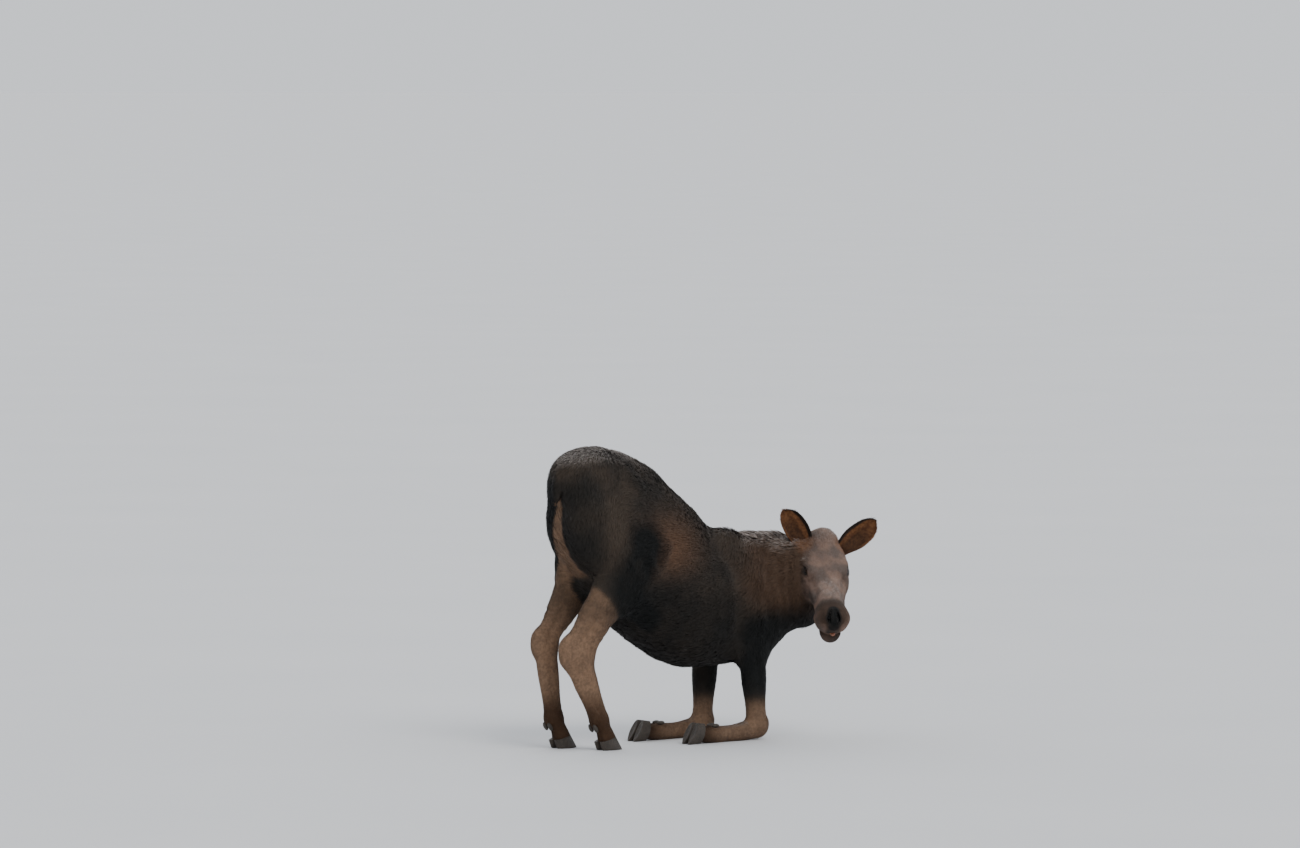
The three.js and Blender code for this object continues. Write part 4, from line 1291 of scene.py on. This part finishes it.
class Graph:
    # one material's nodes

    def __init__(self, name, **fixed):
        self.material = bpy.data.materials.new(name)
        self.material.use_nodes = True
        self.tree = self.material.node_tree
        self.shader = self.tree.nodes["Principled BSDF"]
        for socket, value in fixed.items():
            self.shader.inputs[socket.replace("_", " ")].default_value = value

    def node(self, kind, settings=None, values=None, output=0):
        made = self.tree.nodes.new(kind)
        for name, value in (settings or {}).items():
            if name == "stops":
                self.setStops(made.color_ramp, value)
            else:
                setattr(made, name, value)
        for socket, value in (values or {}).items():
            self.feed(made.inputs[socket], value)
        return Wire(self, made.outputs[output])

    def setStops(self, ramp, stops):
        while len(ramp.elements) < len(stops):
            ramp.elements.new(0.5)
        for element, (position, colour) in zip(ramp.elements, stops):
            element.position, element.color = position, colour

    def feed(self, socket, value):
        if isinstance(value, Wire):
            self.tree.links.new(value.socket, socket)
        else:
            socket.default_value = value

    def blend(self, factor, a, b, way="MIX"):
        settings = {"data_type": "RGBA", "blend_type": way, "clamp_factor": True}
        return self.node("ShaderNodeMix", settings, {0: factor, 6: a, 7: b}, output=2)

    def noise(self, scale, detail=2.0, rough=0.5, stretch=(1, 1, 1)):
        place = self.node("ShaderNodeTexCoord", output=3)
        if stretch != (1, 1, 1):
            place = self.node("ShaderNodeMapping", {}, {"Vector": place, "Scale": stretch})
        values = {"Vector": place, "Scale": scale, "Detail": detail, "Roughness": rough}
        return self.node("ShaderNodeTexNoise", {}, values)

    def marks(self, name, count):
        made = self.node("ShaderNodeAttribute", {"attribute_name": name})
        apart = self.node("ShaderNodeSeparateColor", {}, {"Color": made})
        wires = [Wire(self, apart.socket.node.outputs[i]) for i in range(3)]
        if count == 4:
            wires.append(Wire(self, made.socket.node.outputs["Alpha"]))
        return wires

    def bump(self, height, strength, distance):
        values = {"Height": height, "Strength": strength, "Distance": distance}
        return self.node("ShaderNodeBump", {}, values)

    def finish(self, **sockets):
        for socket, value in sockets.items():
            self.feed(self.shader.inputs[socket.replace("_", " ")], value)
        return self.material


def tint(red, green, blue):
    # a colour as seen, from 0 to 255, in linear light
    linear = [((c / 255 + 0.055) / 1.055) ** 2.4 if c > 10 else c / 255 / 12.92 for c in (red, green, blue)]
    return (*linear, 1.0)


furTints = {
    "body": tint(70, 60, 51),
    "dull": tint(46, 42, 38),
    # dark: the coat's near-black, used also for painted shade
    "dark": tint(13, 15, 15),
    "warm": tint(102, 77, 60),
    "pale": tint(148, 118, 94),
    "dusky": tint(116, 93, 75),
    "frost": tint(186, 178, 173),
    "face": tint(130, 106, 93),
    "grey": tint(98, 84, 77),
    "orange": tint(138, 93, 58),
    "russet": tint(108, 68, 42),
    "bare": tint(20, 18, 17),
    "pored": tint(32, 28, 26),
    # hole: painted shade inside the nostrils and the mouth gap
    "hole": tint(5, 4, 4),
    "foot": tint(66, 45, 29),
}


def furColour(g, tip, tone):
    # the markings' colours and the shade painted into them, broken up at three sizes; tip is 0 at a hair's
    # root and 1 at its end
    pale, dark, warm, frost = g.marks("marksA", 4)
    face, orange, bare, foot = g.marks("marksB", 4)
    broad, mid, fine = g.noise(4.5, 3.0), g.noise(17.0, 3.0), g.noise(85.0, 2.0)
    stir = (mid - 0.5) * 0.5 + (broad - 0.5) * 0.4
    colour = g.blend(broad.soft(0.35, 0.68), furTints["body"], furTints["dull"])
    colour = g.blend((warm + stir * 0.8 * warm).held(), colour, furTints["warm"])
    faceColour = g.blend(mid.soft(0.36, 0.66), furTints["face"], furTints["grey"])
    colour = g.blend(face, colour, faceColour)
    paleColour = g.blend((mid * 0.4 + fine * 0.6).soft(0.35, 0.68), furTints["pale"], furTints["dusky"])
    colour = g.blend((pale + stir * 0.6 * pale).soft(0.15, 0.85), colour, paleColour)
    colour = g.blend((foot + stir * 0.6 * foot).held(), colour, furTints["foot"])
    colour = g.blend(orange, colour, g.blend(fine.soft(0.35, 0.65), furTints["orange"], furTints["russet"]))
    # the dark share: near-black coat and painted shade
    colour = g.blend((dark + stir * 0.7 * dark).held(), colour, furTints["dark"])
    grizzle = (frost * tip.soft(0.35, 0.95) * (fine.soft(0.3, 0.62) * 0.65 + 0.35)).held()
    colour = g.blend(grizzle, colour, furTints["frost"])
    lighter = (tone - 0.5) * 0.6 + (fine - 0.5) * 0.4 + (tip - 0.4) * 0.3
    colour = g.blend(lighter.soft(0.0, 0.5) * 0.3, colour, tint(206, 190, 172), "SOFT_LIGHT")
    colour = g.blend((0.0 - lighter).soft(0.0, 0.5) * 0.4, colour, tint(96, 90, 84), "MULTIPLY")
    # bare skin, near-black with painted shade where the frost share marks a nostril or the mouth gap
    naked = g.blend(frost, g.blend(fine, furTints["bare"], furTints["pored"]), furTints["hole"])
    return g.blend(bare, colour, naked), bare, fine


def skinMaterial():
    g = Graph("short_coat_and_skin", Specular_IOR_Level=0.25)
    colour, bare, fine = furColour(g, g.noise(140.0, 1.0) * 0.9, g.noise(60.0, 1.0))
    hairs = g.noise(420.0, 3.0, 0.6, stretch=(1.0, 1.0, 0.45))
    inObject = g.node("ShaderNodeTexCoord", output=3)
    pores = g.node("ShaderNodeTexVoronoi", {}, {"Vector": inObject, "Scale": 380.0})
    height = hairs * (1 - bare) + pores * bare * 0.8
    rough = 0.82 - bare * 0.34 + (fine - 0.5) * 0.1
    return g.finish(Base_Color=colour, Roughness=rough, Normal=g.bump(height, 0.6, 0.0012))


def furMaterial():
    g = Graph("winter_coat", Sheen_Weight=0.05, Specular_IOR_Level=0.25)
    tone, tip, _ = g.marks("strand", 3)
    colour = furColour(g, tip, tone)[0]
    streaks = g.noise(900.0, 2.0)
    return g.finish(Base_Color=colour, Roughness=0.66 + tone * 0.2, Normal=g.bump(streaks, 0.35, 0.0006))



def meshOf(name, points, faces, material, corners=None, attributes=None, normals=None):
    # points in metres; corners is a UV for each corner of each face
    mesh = bpy.data.meshes.new(name)
    sides3 = faces.shape[1]
    mesh.vertices.add(len(points))
    mesh.vertices.foreach_set("co", np.ascontiguousarray(points, np.float32).ravel())
    mesh.loops.add(faces.size)
    mesh.loops.foreach_set("vertex_index", np.ascontiguousarray(faces, np.int32).ravel())
    mesh.polygons.add(len(faces))
    mesh.polygons.foreach_set("loop_start", np.arange(0, faces.size, sides3, dtype=np.int32))
    mesh.update(calc_edges=True)
    for key, values in (attributes or {}).items():
        kind, field = ("FLOAT_COLOR", "color") if values.shape[1] == 4 else ("FLOAT_VECTOR", "vector")
        made = mesh.attributes.new(key, kind, "POINT")
        made.data.foreach_set(field, np.ascontiguousarray(values, np.float32).ravel())
    if corners is not None:
        layer = mesh.uv_layers.new(name="OFBake")
        layer.data.foreach_set("uv", np.ascontiguousarray(corners, np.float32).ravel())
    mesh.polygons.foreach_set("use_smooth", np.ones(len(faces), bool))
    if normals is not None:
        mesh.normals_split_custom_set_from_vertices(np.ascontiguousarray(normals, np.float32))
    mesh.materials.append(material)
    made = bpy.data.objects.new(name, mesh)
    bpy.context.scene.collection.objects.link(made)
    return made


def settledPiece(piece, slot, *nodes):
    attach(piece, "root")
    if nodes:
        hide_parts(*nodes)
    return piece


# The skin and its coat.
bodyPoints, bodyFaces = makeSkin()
shells = [{"points": bodyPoints, "faces": bodyFaces}]
for name, side in sides.items():
    points, faces, cup, across, up = makeEar(name)
    around = 2 * earGrid[1]
    row, column = np.divmod(np.arange(len(points)), around)
    half = 0 if side > 0 else 0.5
    mapped = np.stack([half + 0.5 * (column + 0.5) / around, row / row.max()], -1)
    shell = {"points": points, "faces": faces, "ear": np.ones(len(points)), "cup": cup}
    shells.append({**shell, "across": across, "up": up, "map": mapped})
    points, faces, rim = makeLids(side)
    shells.append({"points": points, "faces": faces, "rim": rim})


def joined(key, *shape):
    # a value for every point of the skin, 0 where its shell doesn't give one
    return np.concatenate([shell.get(key, np.zeros((len(shell["points"]), *shape))) for shell in shells])


skinPoints = joined("points")
firsts = np.cumsum([0] + [len(shell["points"]) for shell in shells])
skinFaces = np.concatenate([shell["faces"] + first for shell, first in zip(shells, firsts)])
onEar, onRim, earMap = joined("ear") > 0, joined("rim"), joined("map", 2)
inCup, earAcross, earUp = joined("cup"), joined("across"), joined("up")
skinNormals = normalsOf(skinPoints, skinFaces)
coat = coatOf(skinPoints, skinNormals)
marks = coat["marks"]

# the ears have their own lie and colours, and the lids are bare
mark = {name: marks[:, i] for i, name in enumerate(markNames)}
h = toHead(skinPoints)
upEar = ease(10, 60, h[:, 2])
for name in ("pale", "warm"):
    mark[name][onEar] = 0
mark["face"][onEar] = 0.5 * (1 - upEar[onEar])
mark["frost"][onEar] = 0.12 * (1 - inCup[onEar])
# inside, a grey rim towards the other ear, then a bright band, and painted shade darker in the lower middle
# of the cup and outward
inner = ease(-0.62, -0.8, earAcross)
hollow = ease(-0.45, -0.1, earAcross) * ease(0.95, 0.55, earUp) * ease(1.0, 0.75, earAcross)
shadedLowOuter = ease(0.1, 0.5, earAcross) * ease(0.62, 0.3, earUp)
inside = np.maximum.reduce([0.8 * inner, 0.6 * hollow, 0.65 * shadedLowOuter])
mark["dark"][onEar] = mix(0.3 + 0.4 * upEar, inside, inCup)[onEar]
mark["orange"][onEar] = mix(0.5 * (1 - upEar), 0.95 - 0.5 * inner, inCup)[onEar]
mark["bare"][onEar] = 0
mark["bare"][:] = np.maximum(mark["bare"], onRim)
for name, side in sides.items():
    coat["flow"][onEar & (h[:, 1] * side > 0)] = earAxis(name) @ headTurn.T
coat["hair"][onEar] = mix(8.0, 15.0, inCup[onEar])
coat["depth"][onEar] = mix(2.2, 4.5, inCup[onEar])
coat["hair"] *= 1 - 0.5 * ease(34, 22, eyeFarOf(h))
print("skin:", len(skinPoints), "points", len(skinFaces), "triangles")

fleshNodes = ["rump", "belly", "chest", "neck", "tail", "lower_jaw", "head", "ear_left", "ear_right"]
for name in sides:
    fleshNodes += [f"hind_{name}_{part}" for part in ("thigh", "shank", "cannon", "pastern")]
    fleshNodes += [f"fore_{name}_{part}" for part in ("forearm", "cannon", "pastern")]
skinMarks = {"marksA": marks[:, :4], "marksB": marks[:, 4:]}
skin = meshOf("skin", place(skinPoints), skinFaces, skinMaterial(), attributes=skinMarks)
settledPiece(skin, "coat_back", *fleshNodes)

coatSettings = {
    "seed": 41,
    # how many times over the tufts cover the skin
    "cover": {
        "rump": 7.0,
        "barrel_left": 7.0,
        "barrel_right": 7.0,
        "brisket": 6.0,
        "neck": 7.5,
        "ears": 5.0,
    },
    "shortCover": 3.6,  # on the head and legs
    "width": (0.95, 0.052),  # a tuft's width: this, and so much more for each millimetre of length
    "most": 64000,  # tufts in a piece
    "quickShare": 0.2,
    "patch": 0.003,  # a tuft's size on the flat map
}
# a tuft's five points: two at the root, two in the middle and the tip, each with its share of the way out
tuftShares = [0, 0, 0.5, 0.5, 1.0]
tuftShape = np.array([[-0.5, 0], [0.5, 0], [0.42, 0.55], [-0.42, 0.55], [0, 1]])
tuftFaces = [[0, 2, 1], [0, 3, 2], [3, 4, 2]]


def growCoat():
    random = np.random.default_rng(coatSettings["seed"])
    pieces = piecesOf(skinPoints, coat, onEar)
    mapped = unwrapOf(skinPoints, coat, pieces, earMap)
    fur = furMaterial()
    flow = unit(coat["flow"] - (coat["flow"] * skinNormals).sum(1, keepdims=True) * skinNormals)
    area = np.linalg.norm(crossOf(skinPoints, skinFaces), axis=1) / 2
    faceLength = coat["hair"][skinFaces].mean(1)
    faceBare = np.maximum(coat["bare"], onRim)[skinFaces].max(1)
    facePiece = pieces[skinFaces[:, 0]]
    base, slope = coatSettings["width"]
    thinned = 1
    each, total = len(tuftShape), 0
    for index, name in enumerate(coatPieces):
        cover = coatSettings["cover"].get(name, coatSettings["shortCover"])
        here = np.flatnonzero((facePiece == index) & (faceBare < 0.5))
        wanted = area[here] * cover / (faceLength[here] * (base + slope * faceLength[here]))
        count = int(min(wanted.sum(), coatSettings["most"]) * thinned)
        ends = np.cumsum(wanted)
        at = (np.arange(count) + random.random(count)) / count * ends[-1]
        face = skinFaces[here[np.minimum(np.searchsorted(ends, at), len(here) - 1)]]
        r, s = np.sqrt(random.random(count)), random.random(count)
        share = np.stack([1 - r, r * (1 - s), r * s], -1)

        def spread(values):
            return (values[face] * (share[..., None] if values.ndim > 1 else share)).sum(1)

        root, out, way = spread(skinPoints), unit(spread(skinNormals)), spread(flow)
        long = spread(coat["hair"]) * mix(0.72, 1.18, random.random(count))
        deep = spread(coat["depth"]) * mix(0.35, 0.95, random.random(count) ** 0.8)
        wide = (base + slope * long) * mix(0.8, 1.25, random.random(count))
        sideways = np.cross(out, way)
        waves = np.sin(root @ np.array([0.071, 0.053, 0.047]) + 1.7)
        waves = waves + np.sin(root @ np.array([-0.043, 0.061, 0.083]))
        sway = 0.05 * waves + random.normal(0, 0.12, count)
        way = unit(way + sway[:, None] * sideways)
        way = unit(way - (way * out).sum(1, keepdims=True) * out)
        sideways = unit(np.cross(out, way))
        roll = random.normal(0, 0.5, count)[:, None]
        flat = np.cos(roll) * sideways + np.sin(roll) * out
        middle = root + way * (0.5 * long)[:, None] + out * (0.72 * deep)[:, None]
        tip = root + way * (0.97 * long)[:, None] + out * deep[:, None]
        aside = flat * (wide / 2)[:, None]
        sunk = root - out * 0.7
        points = [sunk - aside, sunk + aside, middle + aside * 0.85, middle - aside * 0.85, tip]
        points = np.stack(points, 1)
        points[..., 2] = np.maximum(points[..., 2], 0.6)
        normal = unit(out - 0.25 * way + random.normal(0, 0.22, count)[:, None] * sideways)
        normals = np.repeat(normal, each, axis=0)
        faces = (np.arange(count)[:, None, None] * each + np.array(tuftFaces)).reshape(-1, 3)
        onMap = spread(mapped)
        # faces that cross the map's seam keep one corner's place
        seam = np.ptp(mapped[face], axis=1).max(1) > 0.3
        onMap[seam] = mapped[face[seam, 0]]
        corners = (onMap[:, None, :] + tuftShape * coatSettings["patch"])[:, np.ravel(tuftFaces)]
        held = np.repeat(spread(marks), each, axis=0)
        tone, along = np.repeat(random.random(count), each), np.tile(tuftShares, count)
        strand = np.stack([tone, along, np.zeros(each * count)], -1)
        piece = meshOf(
            f"coat_{name}",
            place(points.reshape(-1, 3)),
            faces,
            fur,
            corners=corners.reshape(-1, 2),
            attributes={"marksA": held[:, :4], "marksB": held[:, 4:], "strand": strand},
            normals=placeWay(normals),
        )
        settledPiece(piece, None)
        total += len(faces)
        print("coat", name, count, "tufts of", int(wanted.sum()), "wanted")
    print("coat:", total, "triangles")


growCoat()


# Eyes, hooves, tongue and lashes.


def eyeMaterial():
    g = Graph("wet_eye", Roughness=0.05, IOR=1.34)
    across, up, _ = g.marks("gaze", 3)
    far = lengthOf(g, across, up)
    pupil = lengthOf(g, across * 0.62, up * 1.15)
    spokes = g.noise(500.0, 2.0)
    iris = g.blend(spokes.soft(0.35, 0.7), tint(58, 36, 22), tint(30, 19, 13))
    colour = g.blend(pupil.soft(0.25, 0.31), tint(4, 4, 6), iris)
    colour = g.blend(far.soft(0.60, 0.68), colour, tint(22, 15, 12))
    return g.finish(Base_Color=colour)


def lengthOf(g, x, y):
    flat = g.node("ShaderNodeCombineXYZ", {}, {0: x, 1: y})
    return g.node("ShaderNodeVectorMath", {"operation": "LENGTH"}, {0: flat}, output=1)


def makeEye(name, side):
    rows, count = 40, 56
    centre, out, fore, over = eyeFrame(side)
    angle, around = ballGrid(rows, count, 0)
    bulge = eye["radius"] + 1.3 * np.exp(-((angle / 0.55) ** 2))  # the cornea stands a little proud
    a, u, w = np.cos(angle) + 0 * around, np.sin(angle) * np.cos(around), np.sin(angle) * np.sin(around)
    ray = a[..., None] * out + u[..., None] * fore + w[..., None] * over
    points = fromHead((centre + ray * (bulge + 0 * around)[..., None]).reshape(-1, 3))
    gaze = np.stack([np.abs(u), np.abs(w), np.maximum(a, 0)], -1).reshape(-1, 3)
    faces = gridFaces(rows, count, closed=True)
    faces = outwardFaces(points, faces, centre)
    made = meshOf(f"eyeball_{name}", place(points), faces, eyeMaterial(), attributes={"gaze": gaze})
    settledPiece(made, "wet_eye", f"eye_{name}")


def hornMaterial():
    g = Graph("hoof_horn", Specular_IOR_Level=0.45)
    growth = {"Scale": 55.0, "Distortion": 2.5, "Detail": 2.0}
    rings = g.node("ShaderNodeTexWave", {"bands_direction": "Z"}, growth, output=1)
    grain, mottled = g.noise(300.0, 3.0, stretch=(1, 1, 0.15)), g.noise(30.0, 3.0)
    colour = g.blend(mottled.soft(0.3, 0.7), tint(44, 38, 34), tint(26, 23, 21))
    colour = g.blend(grain.soft(0.45, 0.8) * 0.6, colour, tint(78, 66, 54))
    colour = g.blend(rings.soft(0.5, 0.9) * 0.35, colour, tint(92, 78, 62))
    ridges = g.bump(grain * 0.6 + rings * 0.5, 0.4, 0.0012)
    return g.finish(Base_Color=colour, Roughness=0.42 + mottled * 0.25, Normal=ridges)


clawShape = {"levels": 16, "around": 56}


def makeClaw(leg, side, label, horn):
    # a claw's wall from the sole to the coronet, with rings of growth, a bevelled sole and a blunt toe
    turnOf, at = feet[leg]
    levels, around = clawShape["levels"], clawShape["around"]
    level = np.linspace(0, 1, levels)[:, None]
    angle = ringOf(around)[None, :]
    lead = np.cos(angle)
    taper = 1 - 0.42 * np.maximum(0, lead) ** 2
    shrink = mix(1, 0.78, level)
    rings = 0.45 * np.sin(level * 34) * ease(0.1, 0.3, level) * (1 - 0.5 * level)
    bevel = -1.6 * (1 - ease(0, 0.12, level))
    x = (hoof["length"] / 2 + rings + bevel - 0.5) * lead * shrink - hoof["slant"] * level
    bulge = np.where(np.sin(angle) > 0, 1, 0.72)
    half = hoof["width"] / 2
    y = side * ((half + rings + bevel - 0.3) * np.sin(angle) * taper * bulge + half - 3 + hoof["cleft"] / 2)
    top = mix(hoof["heel"], hoof["front"], (lead + 1) / 2)
    z = 0.3 + level * (top - 0.6) + 0 * angle
    wall = np.stack([x, y + 0 * x, z], -1)
    middle = wall[0].mean(0)
    hollow = ((0.12, 0.0), (0.3, 1.2), (0.65, 2.6), (0.995, 3.0))
    sole = [mix(wall[0], middle, t) + (0, 0, lift) for t, lift in hollow]
    roof = [mix(wall[-1], wall[-1].mean(0), t) for t in (0.2, 0.6, 0.995)]
    rows = [*sole[::-1], *wall, *roof]
    points = np.concatenate(rows) @ turnOf.T + at
    points[:, 2] = np.maximum(points[:, 2], 0.3)
    faces = faced(points, gridFaces(len(rows), around, closed=True))
    made = meshOf(f"claw_{leg}_{label}", place(points), faces, horn)
    settledPiece(made, "horn", f"{leg}_hoof_{label}")


def makeDewclaw(leg, side, label, horn):
    turnOf, at = feet[leg]
    rows, around = 14, 22
    angle, turnRound = ballGrid(rows, around)
    ridge = 1 + 0.03 * np.sin(angle * 16)
    x = 9 * np.sin(angle) * np.cos(turnRound) * ridge
    y = 11 * np.sin(angle) * np.sin(turnRound) * ridge
    z = 21 * np.cos(angle) + 0 * turnRound
    slant = math.radians(-30)
    c, s = math.cos(slant), math.sin(slant)
    points = np.stack([x * c + z * s, y, -x * s + z * c], -1).reshape(-1, 3)
    back, apart, up = hoof["dewclaw"]
    points = (points + (back, side * apart, up)) @ turnOf.T + at
    points[:, 2] = np.maximum(points[:, 2], 0.3)
    faces = faced(points, gridFaces(rows, around, closed=True))
    made = meshOf(f"dewclaw_{leg}_{label}_horn", place(points), faces, horn)
    settledPiece(made, "horn", f"{leg}_dewclaw_{label}")


def makeTongue():
    # the tip of the tongue between the lips, with a groove along it
    g = Graph("tongue_flesh", Specular_IOR_Level=0.5, Subsurface_Weight=0.1)
    mottled, spots = g.noise(120.0, 3.0), g.node("ShaderNodeTexVoronoi", {}, {"Scale": 900.0})
    colour = g.blend(mottled.soft(0.3, 0.7), tint(156, 100, 70), tint(122, 74, 52))
    rough = 0.36 + mottled * 0.2
    material = g.finish(Base_Color=colour, Roughness=rough, Normal=g.bump(spots, 0.4, 0.0006))
    rows, around = 20, 28
    angle, turnRound = ballGrid(rows, around)
    x = 30 * np.cos(angle) + 0 * turnRound
    y = 13.5 * np.sin(angle) ** 0.8 * np.cos(turnRound)
    z = 11 * np.sin(angle) ** 0.8 * np.sin(turnRound)
    z = z - 1.6 * np.exp(-((y / 3) ** 2)) * (z > 0)
    points = fromHead(np.stack([x, y, z], -1).reshape(-1, 3) + (474, 2, -149))
    faces = faced(points, gridFaces(rows, around, closed=True))
    settledPiece(meshOf("tongue", place(points), faces, material), "tongue", "tongue_tip")


def makeLashes(name, side):
    # a fringe of curved lashes on the upper lid, and a few below
    random = np.random.default_rng(7)
    centre, out, fore, over = eyeFrame(side)
    made, faces = [], []
    for count, sign, high, long in ((28, 1, eye["upper"], 9.0), (10, -1, eye["lower"], 5.0)):
        for k in range(count):
            along = mix(-0.86, 0.8, (k + random.random() * 0.6) / count)
            u = eye["halfLength"] * along
            w = sign * (high * (1 - abs(along) ** 2.1) + 0.8)
            far = math.hypot(u, w)
            way = (u * fore + w * over) / far
            ray = math.cos(far / eye["radius"]) * out + math.sin(far / eye["radius"]) * way
            start = centre + ray * (eye["radius"] + 2.4)
            lift = unit(ray * 0.9 + over * sign * 0.55 + fore * along * 0.5)
            bendUp = over * sign
            length = long * mix(0.75, 1.1, random.random())
            half = fore * 0.28
            rows = [start + lift * length * t + bendUp * length * 0.42 * t * t for t in (0, 0.35, 0.7, 1)]
            index = len(made)
            for t, row in zip((1, 0.8, 0.5), rows):
                made += [row - half * t, row + half * t]
            made.append(rows[3])
            for a, b, c in ((0, 1, 3), (0, 3, 2), (2, 3, 5), (2, 5, 4), (4, 5, 6)):
                faces.append([index + a, index + b, index + c])
    points = fromHead(np.array(made))
    g = Graph(f"lashes_{name}", Specular_IOR_Level=0.3)
    shade = g.noise(400.0, 1.0)
    colour = g.blend(shade, tint(20, 17, 15), tint(46, 38, 32))
    material = g.finish(Base_Color=colour, Roughness=0.5 + shade * 0.1)
    settledPiece(meshOf(f"lashes_{name}", place(points), np.array(faces), material), None)


horn = hornMaterial()
for name, side in sides.items():
    makeEye(name, side)
    makeLashes(name, side)
    for pair in ("hind", "fore"):
        leg = f"{pair}_{name}"
        for label, outward in (("outer", side), ("inner", -side)):
            makeClaw(leg, outward, label, horn)
            makeDewclaw(leg, outward, label, horn)
makeTongue()
print("eyes, hooves and tongue done")


# Floor, light and camera.


ground = {"corners": 96, "rings": (0.001, 5, 60, 900)}  # each ring's reach, in metres


def makeFloor():
    g = Graph("studio_floor", Specular_IOR_Level=0.2)
    cloud = g.noise(0.6, 3.0)
    colour = g.blend(cloud, tint(206, 207, 209), tint(214, 214, 215))
    material = g.finish(Base_Color=colour, Roughness=0.7 + cloud * 0.1)
    around = ringOf(ground["corners"])
    circle = np.stack([np.cos(around), np.sin(around), 0 * around], -1)
    rings = [reach * circle for reach in ground["rings"]]
    faces = gridFaces(len(rings), ground["corners"], closed=True)[:, ::-1]
    floor = meshOf("floor", np.concatenate(rings), faces, material)


studio = {
    # each lamp: where it shines from, how soft it is in degrees, its strength and colour
    "key": {"from": (-0.95, 0.1, 1.0), "soft": 28, "strength": 1.25, "colour": (1.0, 0.98, 0.95)},
    "fill": {"from": (-0.45, -0.9, 0.8), "soft": 90, "strength": 0.45, "colour": (0.95, 0.97, 1.0)},
    "back": {"from": (1.0, -0.1, 0.9), "soft": 80, "strength": 0.5, "colour": (0.97, 0.98, 1.0)},
    "sky": 1.12,
    "skyColour": (0.80, 0.83, 0.87, 1),
}


def makeLights():
    for name in ("key", "fill", "back"):
        setting = studio[name]
        lamp = bpy.data.lights.new(name, "SUN")
        lamp.angle = math.radians(setting["soft"])
        lamp.energy = setting["strength"]
        lamp.color = setting["colour"]
        made = bpy.data.objects.new(name, lamp)
        bpy.context.scene.collection.objects.link(made)
        made.rotation_mode = "QUATERNION"
        made.rotation_quaternion = (-Vector(setting["from"])).to_track_quat("-Z", "Y")
    world = bpy.data.worlds.new("studio")
    world.use_nodes = True
    sky = world.node_tree.nodes["Background"].inputs
    sky["Color"].default_value = studio["skyColour"]
    sky["Strength"].default_value = studio["sky"]
    bpy.context.scene.world = world


camera = {
    "azimuth": 232,
    "elevation": 3,
    "distance": 30,
    "frameWide": 1300 / 225,  # metres that the frame is wide at that distance
    "sensor": 36,
    "ahead": 0.4133,
    "up": 1.4533,
}


def makeCamera():
    turnBy, rise = math.radians(camera["azimuth"]), math.radians(camera["elevation"])
    back = Vector((math.sin(turnBy) * math.cos(rise), -math.cos(turnBy) * math.cos(rise), math.sin(rise)))
    right = Vector((math.cos(turnBy), math.sin(turnBy), 0))
    upward = back.cross(right)
    aim = Vector(place((0, 0, 0))) + right * camera["ahead"] + upward * camera["up"]
    lens = bpy.data.cameras.new("camera")
    lens.sensor_width = camera["sensor"]
    lens.lens = camera["sensor"] * camera["distance"] / camera["frameWide"]
    lens.clip_end = 2000
    made = bpy.data.objects.new("camera", lens)
    bpy.context.scene.collection.objects.link(made)
    made.location = aim + back * camera["distance"]
    made.rotation_mode = "QUATERNION"
    made.rotation_quaternion = (-back).to_track_quat("-Z", "Y")
    bpy.context.scene.camera = made


makeFloor()
makeLights()
makeCamera()
